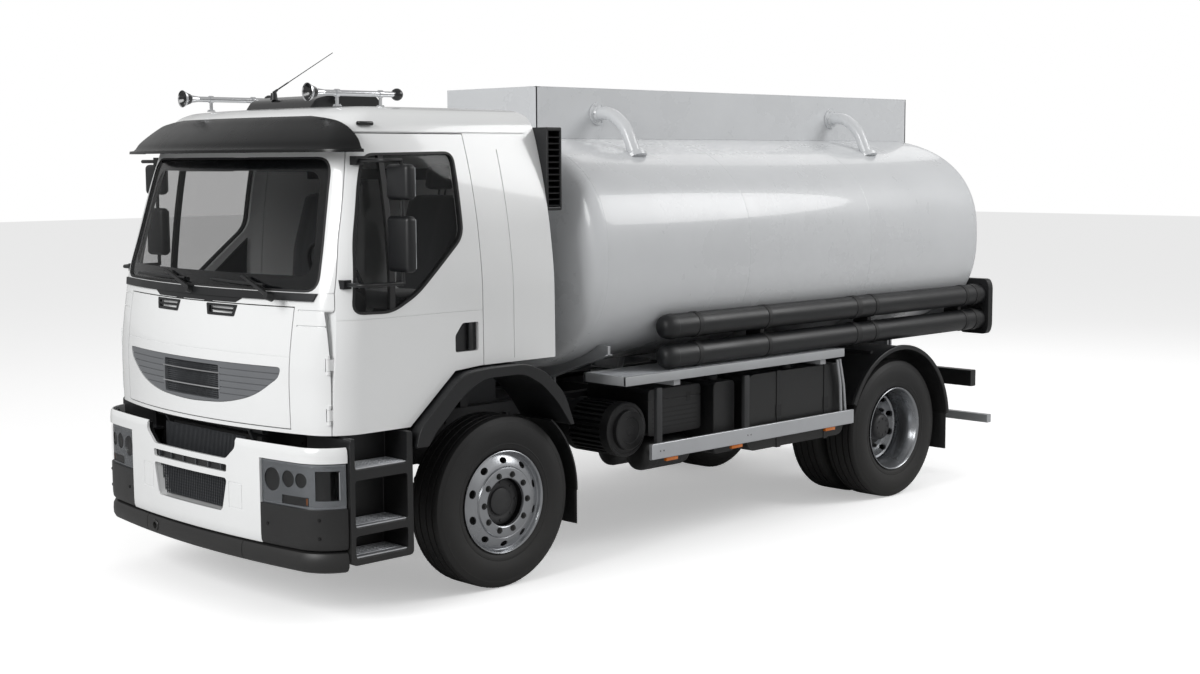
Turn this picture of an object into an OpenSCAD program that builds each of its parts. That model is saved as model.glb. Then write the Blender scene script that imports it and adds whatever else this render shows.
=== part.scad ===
// Two-axle tanker lorry with a tilting day cab. Millimetres, X forward, Y to the left, Z up.
// Every module is drawn with x measured from the front axle, and truck() shifts it to the row frame,
// whose origin lies on the ground in the middle of the overall length.

/* [Chassis] */
// Distance between the two axles
wheelbase = 3800; // [3500:50:4600]
// Front axle to the foremost point of the bumper
front_overhang = 1425; // [1400:5:1500]
// Rear axle to the rearmost point
rear_overhang = 1320; // [1250:10:1600]
// Width over the two frame rails
frame_w = 860; // [800:10:900]
// Height of a frame rail
rail_h = 250; // [200:10:280]
// Top of the frame rails above the ground
frame_top = 970; // [940:5:990]

/* [Wheels] */
// Rolling radius of every tyre
tyre_r = 510; // [490:1:515]
// Width of one tyre
tyre_w = 290; // [260:5:300]
// Radius over the rim flanges
rim_r = 300; // [290:1:310]
// Centre plane of a front tyre from the centreline
front_track_half = 985; // [970:1:1000]
// Centre plane of an outer rear tyre from the centreline
rear_track_half = 1035; // [1030:1:1045]
// Distance between the centre planes of twin tyres
twin_gap = 330; // [325:1:345]
// Greatest steering angle each way, in degrees
steer_max = 40; // [20:1:42]

/* [Cab] */
// Half the width of the cab
cab_half_w = 1150; // [1120:5:1160]
// Back wall of the cab behind the front axle
cab_back = 380; // [340:5:400]
// Thickness of the cab walls and doors
cab_wall = 50; // [40:1:55]
// Height of the cab roof above the ground
roof_z = 2800; // [2760:5:2900]
// Gap around doors and flaps
shut_gap = 6; // [5:0.5:8]
// Thickness of the window glass
glass_t = 10; // [6:1:12]

/* [Tank] */
// Half width of the tank's section
tank_a = 1180; // [1100:5:1190]
// Half height of the tank's section
tank_b = 760; // [700:5:780]
// Lowest point of the tank above the ground
tank_floor = 1140; // [1135:5:1180]
// Front of the tank's straight barrel behind the front axle
tank_front = 800; // [780:5:900]
// Length of the straight barrel
barrel_l = 3990; // [3700:10:4100]
// Squareness of the section, where 2 is an ellipse
tank_n = 2.5; // [2:0.1:3]
// Height of the top coaming above the tank
coaming_h = 305; // [200:5:360]
// Half the width of the coaming
coaming_half_w = 440; // [400:5:480]
// Thickness of the coaming's sheet
coaming_t = 12; // [8:1:16]
// Radius of a manhole collar
manhole_r = 250; // [220:5:280]

/* [Sides] */
// Outer face of the side fittings from the centreline
side_y = 1220; // [1200:1:1225]
// Radius of a hose tube
hose_tube_r = 83; // [70:1:85]
// Outside radius of the discharge coupling
outlet_r = 50; // [40:1:60]

/* [Hidden] */
$fn = 48;
front_axle_x = (front_overhang + wheelbase + rear_overhang) / 2 - front_overhang;
seat_gap = 0.3; // running clearance of pieces that rest on each other
rear_x = -wheelbase - rear_overhang;

// ---- helpers ----
module truck() translate([front_axle_x, 0, 0]) children();
module both_sides() { children(); mirror([0, 1, 0]) children(); }
// A 2D outline given as (x, z), extruded from y0 to y1
module side_prism(y0, y1) translate([0, y1, 0]) rotate([90, 0, 0]) linear_extrude(y1 - y0) children();
// A 2D outline given as (y, z), extruded from x0 to x1
module front_prism(x0, x1) translate([x0, 0, 0]) rotate([90, 0, 90]) linear_extrude(x1 - x0) children();
module box(x0, x1, y0, y1, z0, z1) translate([x0, y0, z0]) cube([x1 - x0, y1 - y0, z1 - z0]);
module along_y(x, z, y0, y1, r) translate([x, y1, z]) rotate([90, 0, 0]) cylinder(r = r, h = y1 - y0);
module along_x(x0, x1, y, z, r) translate([x0, y, z]) rotate([0, 90, 0]) cylinder(r = r, h = x1 - x0);
module rounded(r) offset(r) offset(-r) children();

// ---- tank ----
tank_z = tank_floor + tank_b;
tank_rear = -tank_front - barrel_l;
coaming_top = tank_z + tank_b + coaming_h;
// head profile: distance out from the barrel's end, share of the full section
head = [[0, 1], [35, 0.996], [70, 0.978], [95, 0.945], [115, 0.9], [150, 0.76], [178, 0.56], [195, 0.33], [201, 0.05]];
head_l = head[len(head) - 1][0];
function sgn_pow(v, p) = sign(v) * pow(abs(v), p);
function section(a, b, count) = [for (i = [0:count - 1]) let (t = 360 * i / count)
    [a * sgn_pow(cos(t), 2 / tank_n), b * sgn_pow(sin(t), 2 / tank_n)]];
function section_z(y, s) = tank_z + tank_b * s * pow(1 - pow(min(abs(y) / (tank_a * s), 1), tank_n), 1 / tank_n);
// how far the rear head stands out at a place across and up from the tank's axis
function head_out(y, z) = lookup(pow(pow(y / tank_a, tank_n) + pow(z / tank_b, tank_n), 1 / tank_n),
    [for (i = [len(head) - 1:-1:0]) [head[i][1], head[i][0]]]);
function section_y(z, s) = tank_a * s * pow(1 - pow(min(abs(z - tank_z) / (tank_b * s), 1), tank_n), 1 / tank_n);

module tank_barrel() color("white") {
    count = 72;
    stations = concat(
        [for (i = [len(head) - 1:-1:0]) [-tank_front + head[i][0], head[i][1]]],
        [for (h = head) [tank_rear - h[0], h[1]]]);
    rings = [for (s = stations) [for (p = section(tank_a * s[1], tank_b * s[1], count)) [s[0], p[0], tank_z + p[1]]]];
    last = len(stations) - 1;
    polyhedron(
        points = [for (r = rings) for (p = r) p],
        faces = concat(
            [[for (i = [0:count - 1]) i]],
            [for (r = [0:last - 1]) for (i = [0:count - 1]) let (j = (i + 1) % count)
                [r * count + i, (r + 1) * count + i, (r + 1) * count + j, r * count + j]],
            [[for (i = [count - 1:-1:0]) last * count + i]]));
}

module tank_prism(grow = seat_gap)
    front_prism(tank_rear, -tank_front) translate([0, tank_z])
        polygon(section(tank_a + grow, tank_b + grow, 72));

coaming_x = [-890, tank_rear - 115]; // front and rear end walls
coaming_s = 0.9; // share of the section at the rear end wall
module tank_coaming() color("gainsboro") {
    inner = coaming_half_w - coaming_t; // where the tank's crown is highest under the side walls
    side_bottom = section_z(inner, 1) + seat_gap;
    rear_bottom = [for (h = head) if (h[0] <= 115)
        [tank_rear - h[0], section_z(inner, h[1]) + seat_gap]];
    both_sides() side_prism(coaming_half_w - coaming_t, coaming_half_w)
        polygon(concat([[coaming_x[0], side_bottom]], rear_bottom,
            [[coaming_x[1], coaming_top], [coaming_x[0], coaming_top]]));
    for (wall = [[coaming_x[0] - coaming_t, coaming_x[0], 1],
                 [coaming_x[1], coaming_x[1] + coaming_t, coaming_s + 0.035]])
        front_prism(wall[0], wall[1]) polygon(concat(
            [for (i = [-10:10]) let (y = i / 10 * coaming_half_w) [y, section_z(y, wall[2]) + seat_gap]],
            [[coaming_half_w, coaming_top], [-coaming_half_w, coaming_top]]));
    // top flange turned inwards
    both_sides() box(coaming_x[1], coaming_x[0], coaming_half_w - 60, coaming_half_w, coaming_top - 6, coaming_top);
}

manhole_x = [-tank_front - barrel_l * 0.27, -tank_front - barrel_l * 0.73];
collar_top = tank_z + tank_b + 90;
module manhole_collars() color("silver") for (x = manhole_x) difference() {
    union() {
        translate([x, 0, tank_z + tank_b - 40]) cylinder(r = manhole_r, h = collar_top - tank_z - tank_b + 40);
        translate([x, 0, collar_top - 14]) cylinder(r = manhole_r + 30, h = 14);
        box(x - manhole_r - 75, x - manhole_r + 10, -60, 60, collar_top - 60, collar_top - 20);
        for (y = [-60, 42]) along_y(x - manhole_r - 55, collar_top + 8, y, y + 18, 22);
        for (y = [-60, 42]) box(x - manhole_r - 77, x - manhole_r - 33, y, y + 18, collar_top - 60, collar_top + 8);
    }
    translate([x, 0, tank_z + tank_b - 60]) cylinder(r = manhole_r - 12, h = 300);
    tank_prism();
    along_y(x - manhole_r - 55, collar_top + 8, -61, 61, 8);
}
module manhole_lid(x) color("silver") {
    translate([x, 0, collar_top + seat_gap]) cylinder(r = manhole_r + 28, h = 22);
    translate([x, 0, collar_top + 22]) cylinder(r = 70, h = 24);
    box(x - manhole_r - 56, x - manhole_r, -38, 38, collar_top + seat_gap, collar_top + 22);
    along_y(x - manhole_r - 55, collar_top + 8, -41.7, 41.7, 22);
    along_y(x - manhole_r - 55, collar_top + 8, -59, 59, 7.7);
    box(x + manhole_r + 20, x + manhole_r + 70, -20, 20, collar_top + seat_gap, collar_top + 14);
}

pipe_x = [-1440, -3930];
pipe_z = 2800;
pipe_r = 42;
pipe_turn = 65;
module tank_pipes() color("silver") {
    // overflow pipes down both flanks: out of the coaming, then down through two elbows
    bend = [coaming_half_w + 130, coaming_half_w + 260];
    drop = 90;
    both_sides() for (x = pipe_x) difference() {
        union() {
            along_y(x, pipe_z, coaming_half_w + seat_gap, coaming_half_w + 14, 74);
            along_y(x, pipe_z, coaming_half_w + 10, bend[0], pipe_r);
            translate([x, bend[0], pipe_z]) sphere(pipe_r + 4);
            translate([x, bend[0], pipe_z]) rotate([-90 - atan(drop / (bend[1] - bend[0])), 0, 0])
                cylinder(r = pipe_r, h = norm([drop, bend[1] - bend[0]]));
            translate([x, bend[1], pipe_z - drop]) sphere(pipe_r + 4);
            translate([x, bend[1], pipe_z - drop]) rotate([-90 - pipe_turn, 0, 0]) {
                cylinder(r = pipe_r, h = 330);
                translate([0, 0, 214]) cylinder(r = 74, h = 60);
            }
        }
        tank_prism();
    }
    // discharge pipe below the rear end
    along_x(rear_x + 40, rear_x + 40 + spigot_l, 0, outlet_z, outlet_r);
    along_x(rear_x + 39 + spigot_l, outlet_x, 0, outlet_z, outlet_r - 6);
    translate([outlet_x, 0, outlet_z]) sphere(outlet_r - 4);
    difference() {
        translate([outlet_x, 0, outlet_z]) cylinder(r = outlet_r - 8, h = 130);
        tank_prism();
    }
    along_x(rear_x + 110, rear_x + 130, 0, outlet_z, outlet_r + 32);
    along_x(rear_x + 132, rear_x + 190, 0, outlet_z, outlet_r + 18);
}
outlet_z = 1060;
outlet_x = tank_rear + 42; // where the discharge pipe leaves the tank's floor
spigot_l = 70; // length of the plain end that takes the hose coupling

cradle_x = [-tank_front - 170, -2300, -3500, tank_rear + 130];
cradle_end = 1010; // half length of a cradle
cradle_z = [1280, 1340]; // height of a cradle's ends
module tank_cradles() color("silver") for (x = cradle_x) difference() {
    front_prism(x - 30, x + 30) polygon([
        [-frame_w / 2 - 60, frame_top + seat_gap], [frame_w / 2 + 60, frame_top + seat_gap],
        [frame_w / 2 + 60, 1100], [cradle_end, cradle_z[0]], [cradle_end, cradle_z[1]],
        [-cradle_end, cradle_z[1]], [-cradle_end, cradle_z[0]], [-frame_w / 2 - 60, 1100]]);
    tank_prism(0.8);
    front_prism(x - 31, x + 31) polygon([[-240, frame_top - 1], [240, frame_top - 1], [180, 1080], [-180, 1080]]);
}

module rear_ladder() color("silver") {
    x = tank_rear - 235;
    for (y = [-560, -240]) {
        translate([x, y, 980]) cylinder(r = 16, h = 1980);
        for (z = [1300, 2560]) along_x(x - 1, tank_rear - head_out(abs(y) - 11, abs(z - tank_z) - 11) - seat_gap, y, z, 11);
    }
    for (i = [0:6]) along_y(x, 1060 + i * 280, -560, -240, 13);
}

// ---- chassis ----
rail_x = [1180, rear_x + 90];
module rail_section() difference() {
    square([75, rail_h]);
    translate([-1, 9]) square([67, rail_h - 18]);
}
module frame_rails() color("dimgray") both_sides() front_prism(rail_x[1], rail_x[0])
    translate([frame_w / 2 - 75, frame_top - rail_h]) rail_section();
module cross_members() color("dimgray")
    for (x = [1100, 700, -1120, -1900, -2900, 400 - wheelbase, -wheelbase - 400, rail_x[1] + 40])
        box(x - 30, x + 30, -frame_w / 2 + 9 + seat_gap, frame_w / 2 - 9 - seat_gap, frame_top - rail_h + 30, frame_top - 60);
bracket_y = frame_w / 2 + seat_gap;
hanger_x = [-1085, -1350, -1680, -1935, -2240, -2650, -3020];
module frame_brackets() color("dimgray") {
    // tilt tube of the cab and its two brackets
    both_sides() side_prism(bracket_y, bracket_y + 24) polygon([[1060, frame_top - 200], [1180, frame_top - 200],
        [pivot[0] + 38, pivot[1] - 10], [pivot[0] + 30, pivot[1] + 28], [pivot[0] - 30, pivot[1] + 28], [1060, frame_top]]);
    along_y(pivot[0], pivot[1], -560, 560, 26);
    // rear cab mount
    both_sides() box(-310, -250, 340, 420, frame_top + seat_gap, floor_z - floor_t - seat_gap);
    box(-310, -250, -420, 420, cab_sill - 90, cab_sill - 50);
    both_sides() {
        // carriers of the bumper and the steps
        box(1090, 1180, bracket_y, 780, frame_top - 245, frame_top - 201);
        box(820, 880, bracket_y, 801, 500, 560);
        box(820, 880, bracket_y, bracket_y + 60, 500, frame_top - 40);
        // hangers of the boxes and tanks at the side
        for (x = hanger_x) box(x - 25, x + 25, bracket_y, hanger_y - seat_gap, frame_top - 220, frame_top - 140);
    }
}

module engine() color("darkgray") {
    box(-620, 640, 100 - frame_w / 2, frame_w / 2 - 100, 640, 1180);
    box(-1050, -619, -210, 210, 600, 960);
    both_sides() box(-100, 40, frame_w / 2 - 101, frame_w / 2 - 9 - seat_gap, 800, 860);
}

module leaf_spring(x, y, half_l, z, camber) {
    for (i = [0:3]) side_prism(y - 38, y + 38) polygon([
        [x - half_l * (1 - i * 0.2), z + camber * pow(1 - i * 0.2, 2) - i * 13],
        [x, z - i * 13], [x + half_l * (1 - i * 0.2), z + camber * pow(1 - i * 0.2, 2) - i * 13],
        [x + half_l * (1 - i * 0.2), z + camber * pow(1 - i * 0.2, 2) - i * 13 - 13],
        [x, z - i * 13 - 13], [x - half_l * (1 - i * 0.2), z + camber * pow(1 - i * 0.2, 2) - i * 13 - 13]]);
}
kingpin_y = front_track_half - 75;
spring_y = frame_w / 2 - 40;
module front_axle() color("dimgray") {
    box(-45, 45, -700, 700, tyre_r - 130, tyre_r - 40);
    both_sides() {
        box(-45, 45, 699, kingpin_y - 60, tyre_r - 110, tyre_r - 10);
        difference() {
            union() {
                translate([0, kingpin_y, tyre_r - 60]) cylinder(r = 48, h = 120);
                box(-45, 45, kingpin_y - 61, kingpin_y, tyre_r - 60, tyre_r - 10);
            }
            translate([0, kingpin_y, tyre_r - 80]) cylinder(r = 24, h = 160);
        }
        leaf_spring(0, spring_y, 700, tyre_r + 13, 110);
        box(-70, 70, spring_y - 45, spring_y + 45, tyre_r - 41, tyre_r - 25);
        for (x = [-690, 690]) box(x - 20, x + 20, spring_y - 30, spring_y + 30, tyre_r + 90, frame_top - rail_h - seat_gap);
    }
}
rear_tube_r = 62;
axle_end = rear_track_half - twin_gap / 2;
module rear_axle() color("dimgray") translate([-wheelbase, 0, 0]) {
    along_y(0, tyre_r, -560, 560, 75);
    both_sides() along_y(0, tyre_r, 559, axle_end, rear_tube_r);
    difference() {
        along_y(0, tyre_r, -130, 130, 215);
        box(-300, 300, -131, 131, 200, 320);
    }
    along_x(120, 330, 0, tyre_r, 90);
    // propeller shaft to the gearbox
    along_x(329, wheelbase - 1051, 0, tyre_r + 130, 45);
    along_x(280, 345, 0, tyre_r + 80, 70);
    both_sides() {
        leaf_spring(0, spring_y, 720, tyre_r + 160, 40);
        box(-80, 80, spring_y - 50, spring_y + 50, tyre_r + 50, tyre_r + 110);
        for (x = [-700, 700]) box(x - 20, x + 20, spring_y - 30, spring_y + 30, tyre_r + 180, frame_top - rail_h - seat_gap);
    }
}

// ---- cab ----
cab_base = 1040; // lower edge of the cab's nose and doors
cab_sill = 1337; // lower edge over the wheel arch
floor_z = 1400; // top of the cab floor
floor_t = 45;
firewall_x = [1150, 1190];
screen_sill = 1780; // top of the firewall, below the windscreen
pivot = [1260, 1020]; // tilt axis, as (x, z)
nose_arc = 3700; // plan radius of the nose
// height, foremost x, half width, corner radius, back wall
cab_form = [
    [cab_base, 1395, cab_half_w, 240, -cab_back],
    [1300, 1400, cab_half_w, 240, -cab_back],
    [1770, 1345, cab_half_w - 4, 230, -cab_back],
    [2070, 1262, cab_half_w - 34, 200, -cab_back],
    [2330, 1190, cab_half_w - 82, 180, -cab_back],
    [2550, 1125, cab_half_w - 140, 170, -cab_back],
    [roof_z - 110, 1075, cab_half_w - 186, 160, -cab_back],
    [roof_z - 50, 1020, cab_half_w - 226, 150, -cab_back + 12],
    [roof_z - 14, 940, cab_half_w - 290, 140, -cab_back + 50],
    [roof_z, 830, cab_half_w - 380, 130, -cab_back + 110],
];
corner_steps = 6;
nose_steps = 10;
// Plan outline of one row of the form: back corner, rounded front corner, nose arc and the same mirrored
function plan_ring(s, inset) = let (
    front = s[1] - inset, half = s[2] - inset, r = max(s[3] - inset, 30), back = s[4] + inset,
    corner_y = half - r, nose_x = front - nose_arc,
    corner_x = nose_x + sqrt(pow(nose_arc - r, 2) - pow(corner_y, 2)),
    meet = asin(corner_y / (nose_arc - r)),
    quarter = [for (i = [0:corner_steps]) let (a = 90 + (meet - 90) * i / corner_steps)
        [corner_x + r * cos(a), corner_y + r * sin(a)]],
    nose = [for (i = [1:nose_steps - 1]) let (a = meet - 2 * meet * i / nose_steps)
        [nose_x + nose_arc * cos(a), nose_arc * sin(a)]],
    far = [for (i = [corner_steps:-1:0]) [quarter[i][0], -quarter[i][1]]])
    concat([[back, half]], quarter, nose, far, [[back, -half]]);
// Solid through rows of [height, foremost x, half width, corner radius, back wall]
module loft(rows, inset) {
    rings = [for (i = [0:len(rows) - 1]) let (
        z = i == 0 ? rows[i][0] - (inset > 0 ? 60 : 0) : rows[i][0] - (rows[i][0] > 2600 ? inset * 0.9 : 0))
        [for (p = plan_ring(rows[i], inset)) [p[0], p[1], z]]];
    count = len(rings[0]);
    last = len(rings) - 1;
    polyhedron(
        points = [for (r = rings) for (p = r) p],
        faces = concat(
            [[for (i = [count - 1:-1:0]) i]],
            [for (r = [0:last - 1]) for (i = [0:count - 1]) let (a = r * count + i, b = r * count + (i + 1) % count)
                for (f = [[a, b, b + count], [a, b + count, a + count]]) f],
            [[for (i = [0:count - 1]) last * count + i]]));
}
module cab_loft(inset) loft(cab_form, inset);
// The part of the cab within a distance of its outer skin
module cab_skin(from, to) difference() { cab_loft(from); cab_loft(to); }

// side view outlines, as (x, z)
door_front = 1190; // front edge at the bottom
door_back = 178;
door_top = 2645;
door_lower = [[door_front, cab_base], [714, cab_base], [389, 1322], [200, cab_sill], [0, cab_sill]];
// the edge along the windscreen pillar, upwards, for a gap added in front of it
function door_pillar(gap) = [[door_front - 6 + gap, 1300], [1146 + gap, 1800], [1088 + gap, 2085], [962 + gap, 2590]];
module door_outline() polygon(concat([[0, door_top], [915, door_top]],
    [for (i = [3:-1:0]) door_pillar(0)[i]], door_lower));
// the doorway, open at the bottom
module doorway_outline() polygon(concat([[0, door_top + shut_gap], [915, door_top + shut_gap]],
    [for (i = [3:-1:0]) door_pillar(shut_gap * 1.1)[i]], [[door_front + shut_gap, cab_base], [door_front + shut_gap, 900], [0, 900]]));
module door_window(grow) offset(delta = grow) rounded(45) polygon([[905, 2540], [272, 2550], [288, 2070],
    [646, 1762], [820, 1675], [1085, 1682], [1038, 2080], [961, 2397]]);
module sill_cut() side_prism(-1400, 1400) polygon([[-600, 800], [714, 800], [714, cab_base],
    [389, 1322], [200, cab_sill], [-600, cab_sill]]);
// front view outlines, as (y, z)
flap_half = 850;
flap_z = [1066, 1716];
module flap_outline(grow) translate([-flap_half - grow, flap_z[0] - grow])
    square([2 * flap_half + 2 * grow, flap_z[1] - flap_z[0] + 2 * grow]);
module screen_outline(grow) offset(delta = grow) rounded(70)
    polygon([[-1005, 1800], [1005, 1800], [905, 2520], [-905, 2520]]);

// The door's rear edge is a cylinder about its hinge, so the gap stays the same as it swings
door_hinge = [door_front + 16, cab_half_w - 68];
door_hinge_z = [1150, 1420];
door_reach = door_hinge[0] - door_back;
hinge_pin_r = 6;
// what the inner corner of the door's front edge sweeps about the hinge, with its clearance
jamb_r = norm([door_hinge[0] - door_front, cab_wall + 7]) + shut_gap;
module door_jamb() intersection() {
    box(1000, door_front + shut_gap, 900, 1300, cab_base - 1, 1700);
    translate([door_hinge[0], door_hinge[1], 0]) rotate_extrude($fn = 72)
        polygon([[0, cab_base - 1], [jamb_r, cab_base - 1], [jamb_r, 1300], [jamb_r + 25, 1700], [0, 1700]]);
}
hinge_barrel_r = 11;
hinge_pocket_r = 17;
module door_swing(grow) translate([door_hinge[0], door_hinge[1], 800]) cylinder(r = door_reach + grow, h = 2200, $fn = 96);
flap_hinge = [1338, flap_z[1] + 12];
flap_hinge_y = 150;

module cab_shell() color("white") {
    difference() {
        cab_loft(0);
        // cabin above the floor and behind the firewall
        difference() {
            cab_loft(cab_wall);
            box(-2000, 2000, -2000, 2000, 0, floor_z);
            box(firewall_x[0], 2000, -2000, 2000, 0, screen_sill);
        }
        // the nose in front of the firewall, and the underside
        intersection() {
            cab_loft(cab_wall);
            box(firewall_x[1], 2000, -2000, 2000, 900, screen_sill - 40);
        }
        intersection() {
            cab_loft(cab_wall);
            box(-2000, firewall_x[0], -2000, 2000, 900, floor_z - floor_t);
        }
        sill_cut();
        front_prism(firewall_x[1] + 1, 1600) flap_outline(shut_gap);
        front_prism(800, 1600) screen_outline(1);
        both_sides() {
            difference() {
                intersection() {
                    side_prism(700, 1300) doorway_outline();
                    door_swing(shut_gap);
                }
                cab_loft(cab_wall + shut_gap);
            }
            door_jamb();
            for (z = door_hinge_z) translate([door_hinge[0], door_hinge[1], z - 35]) {
                cylinder(r = hinge_pocket_r, h = 70);
                translate([-hinge_pocket_r, 0, 0]) cube([hinge_pocket_r + 12, 120, 70]);
                translate([-hinge_pocket_r - 50, -16, 0]) cube([hinge_pocket_r + 51, 60, 70]);
            }
            along_y(flap_hinge[0], flap_hinge[1], flap_hinge_y - 42, flap_hinge_y + 42, hinge_pocket_r);
        }
    }
    both_sides() {
        for (z = door_hinge_z) translate([door_hinge[0], door_hinge[1], z]) {
            translate([0, 0, -38]) cylinder(r = hinge_pin_r, h = 76);
            for (low = [-52, 31]) translate([0, 0, low]) cylinder(r = hinge_barrel_r, h = 21);
        }
        along_y(flap_hinge[0], flap_hinge[1], flap_hinge_y - 50, flap_hinge_y + 50, hinge_pin_r);
        // ears on the tilt tube
        difference() {
            union() {
                side_prism(460, 500) polygon([[1040, floor_z - 1], [1190, floor_z - 1],
                    [pivot[0] + 44, pivot[1]], [pivot[0] - 44, pivot[1]], [1040, floor_z - floor_t - 60]]);
                along_y(pivot[0], pivot[1], 460, 500, 44);
            }
            along_y(pivot[0], pivot[1], 455, 505, 26.5);
        }
    }
}
module windscreen() color("darkslategray") intersection() {
    cab_skin(0, glass_t);
    front_prism(800, 1600) screen_outline(0.6);
}
flap_t = 38;
module front_flap() color("white") {
    difference() {
        intersection() {
            cab_skin(0, flap_t);
            front_prism(1150, 1600) flap_outline(0);
        }
        // top edge set back behind its outer lip, which clears the cab as the flap lifts
        intersection() {
            cab_loft(6);
            box(1150, 1600, -flap_half - 1, flap_half + 1, flap_z[1] - 5, flap_z[1] + 1);
        }
        // air slots of the upper grille
        front_prism(1150, 1600) for (z = [1190, 1235, 1280]) translate([-360, z]) square([720, 26]);
    }
    both_sides() difference() {
        union() {
            along_y(flap_hinge[0], flap_hinge[1], flap_hinge_y - 36, flap_hinge_y + 36, hinge_barrel_r);
            box(flap_hinge[0] - 10, flap_hinge[0] + 8, flap_hinge_y - 36, flap_hinge_y + 36, flap_z[1] - 10, flap_hinge[1]);
        }
        along_y(flap_hinge[0], flap_hinge[1], flap_hinge_y - 40, flap_hinge_y + 40, hinge_pin_r + seat_gap);
    }
}
module door() {
    difference() {
        intersection() {
            cab_skin(0, cab_wall);
            side_prism(700, 1300) door_outline();
            door_swing(0);
        }
        side_prism(700, 1300) door_window(0);
        // handle pocket, with a bar across it
        difference() {
            side_prism(cab_half_w - 30, 1300) polygon([[385, 1425], [212, 1425], [212, 1588], [330, 1588], [385, 1520]]);
            box(250, 282, cab_half_w - 40, cab_half_w - 8, 1400, 1600);
        }
    }
    for (z = door_hinge_z) difference() {
        union() {
            translate([door_hinge[0], door_hinge[1], z - 30]) cylinder(r = hinge_barrel_r, h = 60);
            box(door_front - 40, door_hinge[0], door_hinge[1] - 8, door_hinge[1] + 8, z - 30, z + 30);
        }
        translate([door_hinge[0], door_hinge[1], z - 40]) cylinder(r = hinge_pin_r + seat_gap, h = 80);
    }
}
module door_glass() color("darkslategray") intersection() {
    cab_skin(12, 12 + glass_t);
    side_prism(700, 1300) door_window(-seat_gap);
}
mirror_post = [835, 1262]; // upright that carries both heads, as (x, y)
module mirrors() color("dimgray") {
    // height of each bracket, and its foot's front and outer face on the door
    for (m = [[2500, 975, 1055], [1845, 1128, 1130]]) {
        difference() {
            box(m[1] - 50, m[1], m[2] - 60, m[2], m[0] - 24, m[0] + 24);
            cab_loft(-seat_gap);
        }
        along_y(m[1] - 25, m[0], m[2] - 5, mirror_post[1] + 10, 11);
        along_x(mirror_post[0], m[1] - 16, mirror_post[1], m[0], 11);
    }
    translate([mirror_post[0], mirror_post[1], 1840]) cylinder(r = 11, h = 665);
    for (span = [[2290, 2480], [1905, 2205]]) translate([mirror_post[0] - 36, mirror_post[1] - 100, span[0]])
        cube([72, 195, span[1] - span[0]]);
}
module cowl() color("black") intersection() {
    cab_skin(-14, -seat_gap);
    front_prism(900, 1600) polygon([[-1000, 1796], [1000, 1796], [980, 1754], [-980, 1754]]);
}
// rows of the visor's outside and of the space below it
visor_form = [
    [2545, 1125 + 175, cab_half_w - 12, 190, 600],
    [2600, 1102 + 130, cab_half_w - 50, 180, 600],
    [2690, 1075 + 40, cab_half_w - 116, 170, 600],
    [2745, 1020 + 25, cab_half_w - 190, 160, 600],
];
visor_hollow = [
    [2500, 1125 + 163, cab_half_w - 24, 180, 640],
    [2546, 1125 + 163, cab_half_w - 24, 180, 640],
    [2595, 1102 + 118, cab_half_w - 62, 170, 640],
    [2640, 1102 + 40, cab_half_w - 120, 160, 640],
];
module sun_visor() color("black") difference() {
    loft(visor_form, 0);
    loft(visor_hollow, 0);
    cab_loft(-seat_gap);
    box(0, 985, -1300, 1300, 2400, 2900);
}
module roof_hatch() color("black") {
    box(250, 760, -330, 330, roof_z + seat_gap, roof_z + 85);
    translate([700, -120, roof_z + 84]) cylinder(r = 22, h = 26);
    translate([700, -120, roof_z + 105]) rotate([0, -60, 0]) cylinder(r1 = 6, r2 = 3, h = 500);
}
module horns() color("silver") both_sides() {
    z = roof_z + 75;
    for (x = [500, 800]) translate([x, 650, roof_z + seat_gap]) cylinder(r = 12, h = 70);
    along_x(380, 890, 650, z, 18);
    translate([889, 650, z]) rotate([0, 90, 0]) cylinder(r1 = 18, r2 = 52, h = 110);
    translate([381, 650, z]) sphere(36);
}
module dashboard() color("dimgray") {
    difference() {
        union() {
            box(860, firewall_x[0] - seat_gap, -980, 980, floor_z + 240, screen_sill + 30);
            box(860, 1000, -260, 260, floor_z + seat_gap, floor_z + 241);
        }
        steering_column(seat_gap);
    }
}
wheel_c = [740, 520, 1850]; // centre of the steering wheel
module steering_wheel() color("black") translate(wheel_c) rotate([0, -62, 0]) {
    rotate_extrude() translate([215, 0]) circle(14);
    for (a = [0, 120, 240]) rotate([0, 0, a]) translate([0, -12, -8]) cube([216, 24, 14]);
    translate([0, 0, -14]) cylinder(r = 52, h = 28);
    translate([0, 0, -column_l]) cylinder(r = column_r, h = column_l);
}
column_l = 150;
column_r = 24;
module steering_column(grow) translate(wheel_c) rotate([0, -62, 0])
    translate([0, 0, -column_l - grow]) cylinder(r = column_r + grow, h = column_l);
module seats() color("dimgray") both_sides() {
    box(60, 540, 290, 800, floor_z + 230, floor_z + 360);
    box(100, 460, 380, 710, floor_z + seat_gap, floor_z + 231);
    side_prism(310, 780) polygon([[60, floor_z + 300], [200, floor_z + 300], [60, floor_z + 900], [-50, floor_z + 900]]);
    side_prism(420, 670) polygon([[40, floor_z + 899], [-40, floor_z + 899], [-70, floor_z + 1080], [10, floor_z + 1080]]);
}
module rear_louvre() color("black") {
    x = -cab_back - seat_gap;
    difference() {
        box(x - 120, x, 820, cab_half_w - 60, 2200, 2690);
        for (i = [0:10]) box(x - 106, x - 14, 900, cab_half_w, 2228 + i * 41, 2250 + i * 41);
    }
    box(x - 100, x, 840, 1000, 1420, 2201);
}

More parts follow.
